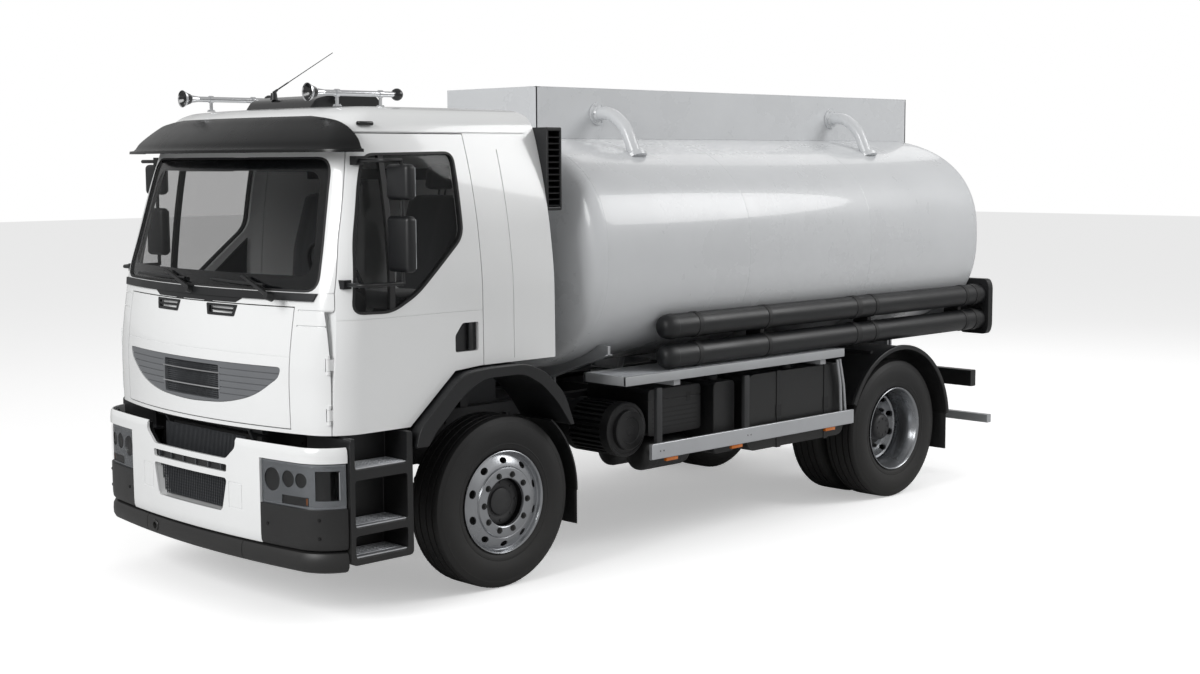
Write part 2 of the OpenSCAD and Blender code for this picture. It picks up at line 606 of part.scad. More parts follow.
// ---- bumper, lamps and steps ----
bumper_arc = 6600;
bumper_half = 1200;
bumper_back = 1165;
bumper_z = [430, 985];
lamp_y = 682;
lamp_z = [655, 895];
module bumper_plan(inset) rounded(250 - inset) intersection() {
    translate([bumper_back - 400, -bumper_half + inset]) square([front_overhang - bumper_back + 400, 2 * (bumper_half - inset)]);
    translate([front_overhang - inset - bumper_arc, 0]) circle(bumper_arc, $fn = 360);
}
module bumper_skin(z0, z1, inset = 0, t = 18) translate([0, 0, z0]) linear_extrude(z1 - z0) difference() {
    intersection() {
        bumper_plan(inset);
        translate([bumper_back, -bumper_half]) square([400, 2 * bumper_half]);
    }
    bumper_plan(inset + t);
}
module bumper() color("white") difference() {
    bumper_skin(bumper_z[0], bumper_z[1]);
    // lamps and black corners
    both_sides() box(0, 2000, lamp_y, 2000, 0, lamp_z[1] + 6);
    front_prism(1100, 1600) {
        // recess above the grille, wider at the top where the flap comes down as the cab tilts
        polygon([[-380, 860], [380, 860], [470, 930], [470, 1260], [-470, 1260], [-470, 930]]);
        translate([-390, 785]) square([780, 42]);
        rounded(25) polygon([[-390, 750], [390, 750], [340, 560], [-340, 560]]);
    }
}
module bumper_grille() {
    box(1200, 1216, -frame_w / 2, frame_w / 2, 740, 975);
    box(1300, 1316, -420, 420, 540, 835);
    both_sides() box(1215, 1301, 400, 420, 760, 800);
    box(1181, 1201, -400, 400, 745, 800);
}
module bumper_trim() color("black") {
    bumper_grille();
    both_sides() intersection() {
        bumper_skin(400, lamp_z[0] - seat_gap);
        union() {
            box(1000, 1600, lamp_y + seat_gap, 1300, 300, 700);
            box(1000, 1600, lamp_y + seat_gap, 1300, 300, 700);
        }
    }
    // towing socket in the lower bar
    difference() {
        union() {
            along_x(tow_x - 118, tow_x, tow_y, 365, 34);
            difference() {
                bumper_skin(305, 424, 0, 70);
                along_x(1200, 1600, tow_y, 365, 30);
            }
        }
        along_x(1200, 1600, tow_y, 365, tow_r);
    }
    // brackets back to the frame's carriers
    both_sides() box(1120, bumper_back + 160, 640, 700, 560, 620);
    both_sides() box(1120, 1350, 640, 660, 330, 620);
    both_sides() box(1100, 1165, 640, 700, 560, frame_top - 245 - seat_gap);
}
module headlights() color("gainsboro") both_sides() {
    intersection() {
        bumper_skin(lamp_z[0], lamp_z[1], 1, 150);
        box(bumper_back + 2, 1600, lamp_y + seat_gap, 1300, 600, 900);
    }
}
tow_x = 1418; // front face of the towing socket
tow_y = -400;
tow_r = 20;
step_x = [740, 1160];
module cab_steps() color("black") both_sides() difference() {
    box(step_x[0], step_x[1], 801 + seat_gap, 1200, 340, 1030);
    for (z = [[378, 500], [545, 800], [860, 1040]])
        box(step_x[0] + 40, step_x[1] - 30, 950 + z[0] * 0.06, 1210, z[0], z[1]);
}

// ---- mudguards ----
guard_r = 575; // inside radius behind a front tyre
rear_guard_r = 600; // inside radius over the twin tyres
guard_from = 23; // angle above the axle at which the rear mudguard begins
// a thin guard bent round a wheel's axis, from one angle to another
module wheel_band(r, t, from, to) rotate([0, 0, from]) rotate_extrude(angle = to - from) translate([r, 0]) children();
arch_out = [[725, 930], [700, 1030], [386, 1310], [200, 1326], [-95, 1326], [-250, 1262], [-395, 1120], [-470, 930]];
arch_in = [[-440, 929], [-340, 1070], [-215, 1190], [-70, 1268], [230, 1268], [372, 1200], [590, 1000], [640, 929]];
module band_outline(r, t, from, to) difference() {
    translate([0, tyre_r]) circle(r + t);
    translate([0, tyre_r]) circle(r);
    // keep only what lies between the two angles
    translate([0, tyre_r]) for (a = [to:20:from + 360]) let (b = min(a + 20, from + 360))
        polygon([[0, 0], 2000 * [cos(a), sin(a)], 2000 * [cos(b), sin(b)]]);
}
module front_mudguards() {
    side_prism(780, 1120) band_outline(guard_r, 12, 130, 181);
    box(-guard_r - 12, -guard_r, 780, 1120, 290, tyre_r);
    side_prism(780, side_y) polygon(concat(arch_out, arch_in));
    // brackets from the frame
    box(-guard_r - 32, -guard_r - 11.9, bracket_y, 1000, 460, 510);
    box(-guard_r - 32, -guard_r - 11.9, bracket_y, bracket_y + 40, 460, frame_top - 60);
    box(120, 160, frame_w / 2 - 50, frame_w / 2, frame_top + seat_gap, 1290);
    box(120, 160, frame_w / 2 - 1, 781, 1268, 1290);
}
module rear_mudguards() translate([-wheelbase, 0, 0]) {
    side_prism(560, 1205) band_outline(rear_guard_r, 12, guard_from, 175);
    side_prism(1190, 1222) band_outline(rear_guard_r - 10, 34, guard_from, 175);
    box(-rear_guard_r - 12, -rear_guard_r, 600, 1205, 285, 580);
    for (a = [70, 125]) along_y((rear_guard_r + 14) * cos(a), tyre_r + (rear_guard_r + 14) * sin(a),
        frame_w / 2 + 10, 1100, 14);
    for (x = [(rear_guard_r + 14) * cos(70), (rear_guard_r + 14) * cos(125)])
        box(x - 14, x + 14, frame_w / 2 + seat_gap, frame_w / 2 + 16, frame_top - 120, tyre_r + rear_guard_r);
}
module mudguards() color("black") both_sides() {
    front_mudguards();
    rear_mudguards();
}

// ---- side fittings ----
hanger_y = frame_w / 2 + 60 + seat_gap; // inner face of what hangs beside the frame
module fuel_tanks() color("black") {
    additive_tank();
    x = [-3190, -2130];
    difference() {
        side_prism(hanger_y, 1150) rounded(50) translate([x[0], 540]) square([x[1] - x[0], 520]);
        for (s = [-2980, -2460]) difference() {
            box(s - 25, s + 25, 0, 1300, 400, 1200);
            side_prism(0, 1144) offset(-6) rounded(50) translate([x[0], 540]) square([x[1] - x[0], 520]);
        }
    }
    for (s = [-2980, -2460]) difference() {
        side_prism(hanger_y, 1156) intersection() {
            offset(6) rounded(50) translate([x[0], 540]) square([x[1] - x[0], 520]);
            translate([s - 22, 400]) square([44, 900]);
        }
        side_prism(hanger_y - 1, 1144.3) offset(-5.7) rounded(50) translate([x[0], 540]) square([x[1] - x[0], 520]);
    }
    translate([-2640, 1060, 1059]) cylinder(r = 42, h = 42);
}
module additive_tank() {
    side_prism(hanger_y, 1120) rounded(30) translate([-2040, 560]) square([210, 480]);
    translate([-1935, 1010, 1039]) cylinder(r = 38, h = 36);
}
module air_cleaner() color("black") {
    x = -1085; z = 805;
    along_y(x, z, hanger_y, 1050, 150);
    along_y(x, z, 1049, 1085, 128);
    for (a = [0:12:359]) translate([x, 0, z]) rotate([0, a, 0]) box(145, 172, 690, 980, -9, 9);
    along_y(x, z, 975, 1052, 174);
    along_y(x, z, 640, 700, 172);
}
module battery_boxes() color("black") both_sides() difference() {
    side_prism(hanger_y, 1050) rounded(20) translate([-1780, 735]) square([500, 300]);
    for (z = [820, 930]) box(-1740, -1320, 1044, 1060, z, z + 12);
}
module air_reservoirs() color("black") both_sides() for (y = [640, 900]) {
    along_x(-1760, -1300, y, 600, 110);
    box(-1560, -1500, y - 20, y + 20, 705, 735 - seat_gap);
}
module silencer() color("gray") {
    along_x(-3100, -2150, -830, 780, 240);
    box(-2700, -2600, -700, -frame_w / 2 - 60 - seat_gap, 760, 820);
    along_x(620 - wheelbase, -3099, -830, 740, 55);
}
catwalk_x = [-3105, -905];
catwalk_y = [846, side_y];
catwalk_z = [1110, 1168];
module catwalks() color("silver") both_sides() {
    for (y = [catwalk_y[0], catwalk_y[1] - 20]) box(catwalk_x[0], catwalk_x[1], y, y + 20, catwalk_z[0], catwalk_z[1]);
    for (x = [catwalk_x[0], catwalk_x[1] - 20]) box(x, x + 20, catwalk_y[0] + 1, catwalk_y[1] - 1, catwalk_z[0], catwalk_z[1]);
    for (i = [0:5]) let (step = (catwalk_x[1] - catwalk_x[0] - 20) / 6)
        box(catwalk_x[0] + 26 + i * step, catwalk_x[0] + 14 + (i + 1) * step, catwalk_y[0] + 19, catwalk_y[1] - 19, catwalk_z[0] + 34, catwalk_z[0] + 44);
    for (x = [-2900, -1400]) box(x - 30, x + 30, frame_w / 2 + seat_gap, catwalk_y[1] - 30, catwalk_z[0] - 40, catwalk_z[0] + 1);
    for (x = [-2900, -1400]) box(x - 30, x + 30, frame_w / 2 + seat_gap, frame_w / 2 + 30, frame_top - 100, catwalk_z[0] - 39);
    box(catwalk_x[0], catwalk_x[1], catwalk_y[0] + 19, catwalk_y[1] - 19, catwalk_z[0] + 30, catwalk_z[0] + 35);
}
guard_x = [582 - wheelbase, -1136];
module guard_rails() color("silver") {
    side_guards();
    underride_guard();
}
module side_guards() both_sides() {
    box(guard_x[0], guard_x[1], side_y - 22, side_y, 622, 722);
    for (x = [-2076, -1230]) {
        box(x - 25, x + 25, side_y - 50, side_y - 21, 640, catwalk_z[0] - seat_gap);
        box(x - 25, x + 25, side_y - 50, side_y, catwalk_z[0] - 40, catwalk_z[0] - seat_gap);
    }
}
tube_y = 1139;
tube_z = [1252, 1442];
tube_x = [rear_x + 210, -1300];
module hose_tubes() color("black") both_sides() {
    for (z = tube_z) {
        along_x(tube_x[0], tube_x[1] - 80, tube_y, z, hose_tube_r - 3);
        along_x(tube_x[1] - 100, tube_x[1] - 60, tube_y, z, hose_tube_r);
        translate([tube_x[1] - 61, tube_y, z]) rotate([0, 90, 0]) cylinder(r1 = hose_tube_r, r2 = 46, h = 61);
        along_x(-3300, -3280, tube_y, z, hose_tube_r);
    }
    front_prism(tube_x[0] - 60, tube_x[0]) polygon([[975, 1165], [1000, 1132], [1215, 1132], [1238, 1190],
        [1238, 1510], [1215, 1562], [975, 1562]]);
    // brackets on the ends of the cradles
    for (x = [cradle_x[1], cradle_x[2], cradle_x[3]])
        box(x - 20, x + 20, cradle_end + seat_gap, tube_y, cradle_z[1] - 50, cradle_z[1] + 60);
}

// ---- rear ----
module rear_light_bar() color("black") {
    box(rear_x, rear_x + 70, -1000, 1000, 685, 815);
    both_sides() box(rear_x + 69, rear_x + 89.7, frame_w / 2 - 90, frame_w / 2, 720, 815);
}
module underride_guard() {
    box(rear_x + 20, rear_x + 75, -1160, 1160, 410, 475);
    both_sides() box(rear_x + 74, rear_x + 150, frame_w / 2 - 70, frame_w / 2 - 10, 410, frame_top - rail_h - seat_gap);
}

// ---- wheels ----
// Outside and inside of a tyre's section, as (radius, place across)
tyre_half = tyre_w / 2;
tyre_out = [[rim_r - 8, -105], [rim_r + 30, -128], [tyre_r - 110, -tyre_half], [tyre_r - 50, -tyre_half + 6],
    [tyre_r - 16, -tyre_half + 26], [tyre_r - 3, -tyre_half + 50], [tyre_r, -40], [tyre_r, 40],
    [tyre_r - 3, tyre_half - 50], [tyre_r - 16, tyre_half - 26], [tyre_r - 50, tyre_half - 6],
    [tyre_r - 110, tyre_half], [rim_r + 30, 128], [rim_r - 8, 105]];
tyre_in = [[rim_r - 8, 85], [rim_r + 36, 106], [tyre_r - 110, tyre_half - 20], [tyre_r - 55, tyre_half - 24],
    [tyre_r - 32, tyre_half - 52], [tyre_r - 30, 0], [tyre_r - 32, -tyre_half + 52], [tyre_r - 55, -tyre_half + 24],
    [tyre_r - 110, -tyre_half + 20], [rim_r + 36, -106], [rim_r - 8, -85]];
module tyre(x, y) color("black") translate([x, y, tyre_r]) rotate([90, 0, 0])
    rotate_extrude() polygon(concat(tyre_out, tyre_in));
// A rim. side is +1 when its outer face looks to the left, and dish is the disc's place outboard of the centre plane.
module rim(x, y, side, dish) color("silver") translate([x, y, tyre_r]) rotate([-90 * side, 0, 0]) difference() {
    back = dish > 0 ? -1 : 1;
    union() {
        rotate_extrude() polygon([[258, -112], [rim_r, -127], [rim_r, -117], [rim_r - 9, -105], [272, -90],
            [272, 90], [rim_r - 9, 105], [rim_r, 117], [rim_r, 127], [258, 112]]);
        rotate_extrude() polygon([[140, dish - 7], [205, dish - 7], [259, dish + back * 58 - 7],
            [259, dish + back * 58 + 13], [205, dish + 7], [140, dish + 7]]);
    }
    for (i = [0:9]) rotate([0, 0, i * 36 + 18]) translate([226, 0, dish - 60]) cylinder(r = 20, h = 120);
}
module wheel_nuts(z) for (i = [0:9]) rotate([0, 0, i * 36]) translate([167.5, 0, z]) cylinder(r = 16, h = 34, $fn = 6);
front_dish = 85; // disc plane of a front wheel, outboard of its centre plane
twin_dish = -157; // disc plane of an outer twin wheel, inboard of its centre plane
module rim_front(side) {
    y = side * front_track_half;
    rim(0, y, side, front_dish);
    color("silver") translate([0, y, tyre_r]) rotate([-90 * side, 0, 0]) {
        wheel_nuts(front_dish + 6.5);
        // hub with its dark recess
        difference() {
            translate([0, 0, front_dish - 50]) union() {
                cylinder(r = 141, h = 100);
                cylinder(r = 190, h = 43.5);
            }
            translate([0, 0, front_dish + 20]) cylinder(r = 112, h = 60);
            translate([0, 0, front_dish - 51]) cylinder(r = spindle_r + 1, h = 60);
        }
    }
}
module rims_rear(side) {
    y = side * rear_track_half;
    rim(-wheelbase, y, side, twin_dish);
    rim(-wheelbase, y - side * twin_gap, -side, twin_dish);
    color("silver") translate([-wheelbase, y, tyre_r]) rotate([-90 * side, 0, 0]) {
        wheel_nuts(twin_dish + 6.5);
        difference() {
            translate([0, 0, twin_dish - 70]) cylinder(r = 141, h = 200);
            translate([0, 0, twin_dish - 71]) cylinder(r = rear_tube_r + 1, h = 100);
        }
    }
}
spindle_r = 45;
module knuckle(side) color("dimgray") mirror([0, side < 0 ? 1 : 0, 0]) {
    along_y(0, tyre_r, kingpin_y + 55, front_track_half + front_dish + 4, spindle_r);
    translate([0, kingpin_y, tyre_r - 92]) cylinder(r = 23.7, h = 184);
    for (z = [[tyre_r - 92, tyre_r - 60.5], [tyre_r + 60.5, tyre_r + 92]]) {
        translate([0, kingpin_y, z[0]]) cylinder(r = 42, h = z[1] - z[0]);
        box(-38, 38, kingpin_y, kingpin_y + 62, z[0], z[1]);
    }
    along_y(0, tyre_r, kingpin_y + 52, kingpin_y + 66, 96);
    // steering arm back to the tie rod's ball pin
    translate([-arm_l, kingpin_y, arm_z]) cylinder(r = 26, h = 20);
    box(-arm_l, -30, kingpin_y - 13, kingpin_y + 18, arm_z, arm_z + 20);
    translate([-arm_l, kingpin_y, arm_z - 48]) cylinder(r = 12, h = 50);
}
arm_l = 150; // steering arm behind the kingpin
arm_z = tyre_r - 92; // underside of the steering arm
module tie_rod() color("dimgray") {
    along_y(-arm_l, arm_z - 26, -kingpin_y + 20, kingpin_y - 20, 16);
    both_sides() difference() {
        translate([-arm_l, kingpin_y, arm_z - 48]) cylinder(r = 26, h = 44);
        translate([-arm_l, kingpin_y, arm_z - 60]) cylinder(r = 12 + seat_gap, h = 70);
    }
}

truck() frame_rails();
truck() cross_members();
truck() frame_brackets();
truck() engine();
truck() front_axle();
truck() rear_axle();
truck() bumper();
truck() bumper_trim();
truck() headlights();
truck() cab_steps();
truck() mudguards();
truck() fuel_tanks();
truck() air_cleaner();
truck() battery_boxes();
truck() air_reservoirs();
truck() silencer();
truck() catwalks();
truck() guard_rails();
truck() hose_tubes();
truck() rear_light_bar();
truck() tank_barrel();
truck() tank_cradles();
truck() tank_coaming();
truck() manhole_collars();
truck() tank_pipes();
truck() rear_ladder();
truck() cab_shell();
truck() windscreen();
truck() cowl();
truck() sun_visor();
truck() roof_hatch();
truck() horns();
truck() dashboard();
truck() steering_wheel();
truck() seats();
truck() rear_louvre();
truck() front_flap();
truck() color("white") door();  // door_left
truck() color("white") mirror([0, 1, 0]) door();  // door_right
truck() door_glass();  // door_glass_left
truck() mirror([0, 1, 0]) door_glass();  // door_glass_right
truck() mirrors();  // mirrors_left
truck() mirror([0, 1, 0]) mirrors();  // mirrors_right
truck() manhole_lid(manhole_x[0]);  // manhole_lid_front
truck() manhole_lid(manhole_x[1]);  // manhole_lid_rear
truck() knuckle(1);  // knuckle_left
truck() knuckle(-1);  // knuckle_right
truck() tie_rod();
truck() tyre(0, front_track_half);  // tyre_front_left
truck() tyre(0, -front_track_half);  // tyre_front_right
truck() rim_front(1);  // rim_front_left
truck() rim_front(-1);  // rim_front_right
truck() { tyre(-wheelbase, rear_track_half); tyre(-wheelbase, rear_track_half - twin_gap); }  // tyres_rear_left
truck() { tyre(-wheelbase, -rear_track_half); tyre(-wheelbase, twin_gap - rear_track_half); }  // tyres_rear_right
truck() rims_rear(1);  // rims_rear_left
truck() rims_rear(-1);  // rims_rear_right
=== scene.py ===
import bpy
import bmesh
import math
from mathutils import Matrix, Vector


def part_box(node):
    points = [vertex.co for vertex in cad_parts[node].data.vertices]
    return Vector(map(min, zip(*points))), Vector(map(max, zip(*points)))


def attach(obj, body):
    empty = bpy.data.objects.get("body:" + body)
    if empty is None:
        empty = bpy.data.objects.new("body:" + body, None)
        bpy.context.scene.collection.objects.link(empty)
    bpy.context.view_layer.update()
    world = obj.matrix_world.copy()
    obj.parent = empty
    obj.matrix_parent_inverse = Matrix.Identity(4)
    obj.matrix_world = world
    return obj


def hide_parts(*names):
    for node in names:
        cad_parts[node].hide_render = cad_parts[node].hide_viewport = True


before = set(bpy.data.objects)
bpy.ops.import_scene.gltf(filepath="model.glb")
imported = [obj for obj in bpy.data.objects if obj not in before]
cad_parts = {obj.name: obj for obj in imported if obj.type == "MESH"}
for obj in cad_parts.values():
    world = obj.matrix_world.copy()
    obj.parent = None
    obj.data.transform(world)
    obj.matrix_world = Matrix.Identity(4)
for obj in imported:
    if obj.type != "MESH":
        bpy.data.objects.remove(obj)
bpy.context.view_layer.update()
scene = bpy.context.scene
axleX = (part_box("tyre_front_left")[0].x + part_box("tyre_front_left")[1].x) / 2
rearX = (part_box("tyres_rear_left")[0].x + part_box("tyres_rear_left")[1].x) / 2
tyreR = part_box("tyre_front_left")[1].z / 2
print("frame loaded")

# ---------- small mesh tools, in metres with x counted from the front axle ----------


def newBm():
    return bmesh.new()


def place(x, y, z):
    return Vector((axleX + x, y, z))


def addBox(bm, low, high, bevel=0.0):
    made = bmesh.ops.create_cube(bm, size=1.0)["verts"]
    low, high = place(*low), place(*high)
    size = high - low
    bmesh.ops.scale(bm, verts=made, vec=size)
    bmesh.ops.translate(bm, verts=made, vec=(low + high) / 2)
    if bevel:
        edges = list({e for v in made for e in v.link_edges})
        bmesh.ops.bevel(bm, geom=edges, offset=bevel, segments=2, affect="EDGES", profile=0.5, material=-1, clamp_overlap=True)


def addRod(bm, start, end, radius, endRadius=None, segments=24, caps=True):
    a, b = place(*start), place(*end)
    along = b - a
    turn = along.to_track_quat("Z", "Y").to_matrix().to_4x4()
    bmesh.ops.create_cone(bm, cap_ends=caps, segments=segments, radius1=radius,
                          radius2=radius if endRadius is None else endRadius, depth=along.length,
                          matrix=Matrix.Translation((a + b) / 2) @ turn)


def addSpin(bm, profile, centre, axis="y", flip=1, steps=64, closed=True):
    # profile points are (radius, distance along the axis)
    c = place(*centre)
    along = Vector({"x": (1, 0, 0), "y": (0, 1, 0), "z": (0, 0, 1)}[axis]) * flip
    out = Vector({"x": (0, 0, 1), "y": (1, 0, 0), "z": (1, 0, 0)}[axis])
    verts = [bm.verts.new(c + out * r + along * h) for r, h in profile]
    count = len(verts) if closed else len(verts) - 1
    edges = [bm.edges.new((verts[i], verts[(i + 1) % len(verts)])) for i in range(count)]
    before = set(bm.faces)
    bmesh.ops.spin(bm, geom=verts + edges, cent=c, axis=along, dvec=(0, 0, 0), angle=2 * math.pi, steps=steps, use_merge=True)
    faceOut(bm, before)


def faceOut(bm, before):
    # turns the faces made since then outwards
    bmesh.ops.recalc_face_normals(bm, faces=[f for f in bm.faces if f not in before])


def addPrism(bm, outline, axis, low, high):
    # outline is (x, z) for axis y, (y, z) for axis x and (x, y) for axis z
    def at(p, h):
        return {"y": place(p[0], h, p[1]), "x": place(h, p[0], p[1]), "z": place(p[0], p[1], h)}[axis]
    before = set(bm.faces)
    face = bm.faces.new([bm.verts.new(at(p, low)) for p in outline])
    grown = bmesh.ops.extrude_face_region(bm, geom=[face])["geom"]
    step = {"y": (0, high - low, 0), "x": (high - low, 0, 0), "z": (0, 0, high - low)}[axis]
    bmesh.ops.translate(bm, verts=[g for g in grown if isinstance(g, bmesh.types.BMVert)], vec=step)
    faceOut(bm, before)


def addPipe(bm, points, radius, segments=16, bend=0.05):
    # a round pipe along straight runs with rounded bends
    path = [place(*p) for p in points]
    line = [path[0]]
    for before, here, after in zip(path, path[1:], path[2:]):
        reach = min(bend, (here - before).length * 0.45, (after - here).length * 0.45)
        a, b = here + (before - here).normalized() * reach, here + (after - here).normalized() * reach
        line += [a.lerp(here, t).lerp(here.lerp(b, t), t) for t in (0, 0.25, 0.5, 0.75, 1)]
    line.append(path[-1])
    rings = []
    side = None
    for i, p in enumerate(line):
        ahead = (line[min(i + 1, len(line) - 1)] - line[max(i - 1, 0)]).normalized()
        side = (Vector((0, 0, 1)) if abs(ahead.z) < 0.9 else Vector((1, 0, 0))) if side is None else side
        side = (side - ahead * side.dot(ahead)).normalized()
        third = ahead.cross(side)
        rings.append([p + (side * math.cos(a) + third * math.sin(a)) * radius
                      for a in (2 * math.pi * k / segments for k in range(segments))])
    addLoft(bm, rings)


def addLoft(bm, rings, caps=True):
    # rings of absolute points, bridged one to the next
    before = set(bm.faces)
    loops = []
    for ring in rings:
        verts = [bm.verts.new(p) for p in ring]
        loops.append((verts, [bm.edges.new((verts[i], verts[(i + 1) % len(verts)])) for i in range(len(verts))]))
    for a, b in zip(loops, loops[1:]):
        bmesh.ops.bridge_loops(bm, edges=a[1] + b[1])
    if caps:
        bm.faces.new(loops[0][0])
        bm.faces.new(list(reversed(loops[-1][0])))
    faceOut(bm, before)


def rounded(points, radius, steps=6):
    # outline with every corner rounded
    out = []
    count = len(points)
    for i, p in enumerate(points):
        r = radius[i] if isinstance(radius, (list, tuple)) else radius
        here = Vector(p)
        before, after = Vector(points[i - 1]) - here, Vector(points[(i + 1) % count]) - here
        reach = min(r, before.length * 0.48, after.length * 0.48)
        a, b = here + before.normalized() * reach, here + after.normalized() * reach
        for k in range(steps + 1):
            t = k / steps
            out.append(tuple(a.lerp(here, t).lerp(here.lerp(b, t), t)))
    return out


def shifted(outline, dx, dz=0.0):
    return [(x + dx, z + dz) for x, z in outline]


def grown(outline, amount):
    # outline moved outwards by amount
    count = len(outline)
    area = sum(outline[i - 1][0] * outline[i][1] - outline[i][0] * outline[i - 1][1] for i in range(count))
    sign = 1 if area > 0 else -1
    out = []
    for i, p in enumerate(outline):
        a, b = Vector(outline[i - 1]), Vector(outline[(i + 1) % count])
        along = (b - a).normalized()
        out.append((p[0] + along.y * amount * sign, p[1] - along.x * amount * sign))
    return out


def mirrorCopy(bm):
    # the same shape again on the other side
    geom = bm.verts[:] + bm.edges[:] + bm.faces[:]
    copy = bmesh.ops.duplicate(bm, geom=geom)["geom"]
    verts = [g for g in copy if isinstance(g, bmesh.types.BMVert)]
    bmesh.ops.scale(bm, verts=verts, vec=(1, -1, 1))
    faces = [g for g in copy if isinstance(g, bmesh.types.BMFace)]
    bmesh.ops.reverse_faces(bm, faces=faces)


def tempObject(bm):
    mesh = bpy.data.meshes.new("temp")
    bm.to_mesh(mesh)
    bm.free()
    made = bpy.data.objects.new("temp", mesh)
    scene.collection.objects.link(made)
    return made


def combine(bm, cutters, operation="DIFFERENCE"):
    # boolean of one mesh with each of the others
    base = tempObject(bm)
    others = [tempObject(c) for c in cutters]
    for other in others:
        step = base.modifiers.new("cut", "BOOLEAN")
        step.operation = operation
        step.solver = "EXACT"
        step.object = other
    bpy.context.view_layer.update()
    result = newBm()
    result.from_mesh(base.evaluated_get(bpy.context.evaluated_depsgraph_get()).to_mesh())
    for old in [base] + others:
        bpy.data.meshes.remove(old.data)
    bmesh.ops.remove_doubles(result, verts=result.verts[:], dist=1e-5)
    bmesh.ops.dissolve_degenerate(result, dist=1e-6, edges=result.edges[:])
    return result


def piece(name, bm, finish, body, nodes=(), sharp=32, bevel=0.0, weld=True):
    # finished object at the origin, riding on its body
    if weld:
        bmesh.ops.remove_doubles(bm, verts=bm.verts[:], dist=1e-5)
    mesh = bpy.data.meshes.new(name)
    bm.to_mesh(mesh)
    bm.free()
    mesh.polygons.foreach_set("use_smooth", [True] * len(mesh.polygons))
    mesh.set_sharp_from_angle(angle=math.radians(sharp))
    made = bpy.data.objects.new(name, mesh)
    scene.collection.objects.link(made)
    for one in finish if isinstance(finish, (list, tuple)) else [finish]:
        mesh.materials.append(one)
    if bevel:
        edge = made.modifiers.new("edges", "BEVEL")
        edge.width = bevel
        edge.segments = 2
        edge.limit_method = "ANGLE"
        edge.angle_limit = math.radians(40)
        edge.harden_normals = True
    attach(made, body)
    if nodes:
        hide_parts(*nodes)
    return made


# ---------- materials ----------


def linear(hexColour):
    parts = [int(hexColour[i:i + 2], 16) / 255 for i in (1, 3, 5)]
    return [c / 12.92 if c <= 0.04045 else ((c + 0.055) / 1.055) ** 2.4 for c in parts] + [1.0]


def addNode(tree, kind, settings=None, links=None):
    # settings go to named sockets or properties, and links are socket: other node's output
    node = tree.nodes.new(kind)
    for key, value in (settings or {}).items():
        if key in node.inputs:
            node.inputs[key].default_value = value
        else:
            setattr(node, key, value)
    for key, output in (links or {}).items():
        tree.links.new(output, node.inputs[key])
    return node


def surface(name, colour, roughness, metallic=0.0, grain=2.0, bump=0.1, spread=0.08, tint=0.94, dirt=None, coat=0.0, **more):
    # grain is the size in millimetres of the surface's texture, and tint how dark its cloudy variation gets
    made = bpy.data.materials.new(name)
    made.use_nodes = True
    tree = made.node_tree
    tree.nodes.clear()
    where = addNode(tree, "ShaderNodeTexCoord").outputs["Object"]
    fine = addNode(tree, "ShaderNodeTexNoise", {"Scale": 1000.0 / grain, "Detail": 3.0, "Roughness": 0.6}, {"Vector": where})
    cloud = addNode(tree, "ShaderNodeTexNoise", {"Scale": 2.2, "Detail": 5.0, "Roughness": 0.62}, {"Vector": where})
    base = linear(colour)
    dark = [c * tint for c in base[:3]] + [1.0]
    ramp = addNode(tree, "ShaderNodeMapRange", {"From Min": 0.35, "From Max": 0.65}, {"Value": cloud.outputs["Fac"]})
    tone = addNode(tree, "ShaderNodeMix", {"data_type": "RGBA"}, {})
    tone.inputs[6].default_value = dark
    tone.inputs[7].default_value = base
    tree.links.new(ramp.outputs["Result"], tone.inputs[0])
    colourOut = tone.outputs[2]
    if dirt:
        # road dust that thickens towards the ground, up to dirt["top"] metres
        height = addNode(tree, "ShaderNodeSeparateXYZ", {}, {"Vector": where})
        low = addNode(tree, "ShaderNodeMapRange", {"From Min": 0.1, "From Max": dirt["top"], "To Min": dirt["amount"], "To Max": 0.0},
                      {"Value": height.outputs["Z"]})
        patch = addNode(tree, "ShaderNodeMath", {"operation": "MULTIPLY"}, {0: low.outputs["Result"], 1: cloud.outputs["Fac"]})
        dusty = addNode(tree, "ShaderNodeMix", {"data_type": "RGBA"}, {})
        tree.links.new(patch.outputs[0], dusty.inputs[0])
        tree.links.new(colourOut, dusty.inputs[6])
        dusty.inputs[7].default_value = linear(dirt["colour"])
        colourOut = dusty.outputs[2]
    rough = addNode(tree, "ShaderNodeMapRange", {"From Min": 0.3, "From Max": 0.7, "To Min": max(roughness - spread, 0.02),
                                                 "To Max": min(roughness + spread, 1.0)}, {"Value": cloud.outputs["Fac"]})
    relief = addNode(tree, "ShaderNodeBump", {"Strength": bump, "Distance": 0.001}, {"Height": fine.outputs["Fac"]})
    shader = addNode(tree, "ShaderNodeBsdfPrincipled", {"Metallic": metallic, "Coat Weight": coat, "Coat Roughness": 0.04, **more},
                     {"Base Color": colourOut, "Roughness": rough.outputs["Result"], "Normal": relief.outputs["Normal"]})
    addNode(tree, "ShaderNodeOutputMaterial", {}, {"Surface": shader.outputs[0]})
    return made


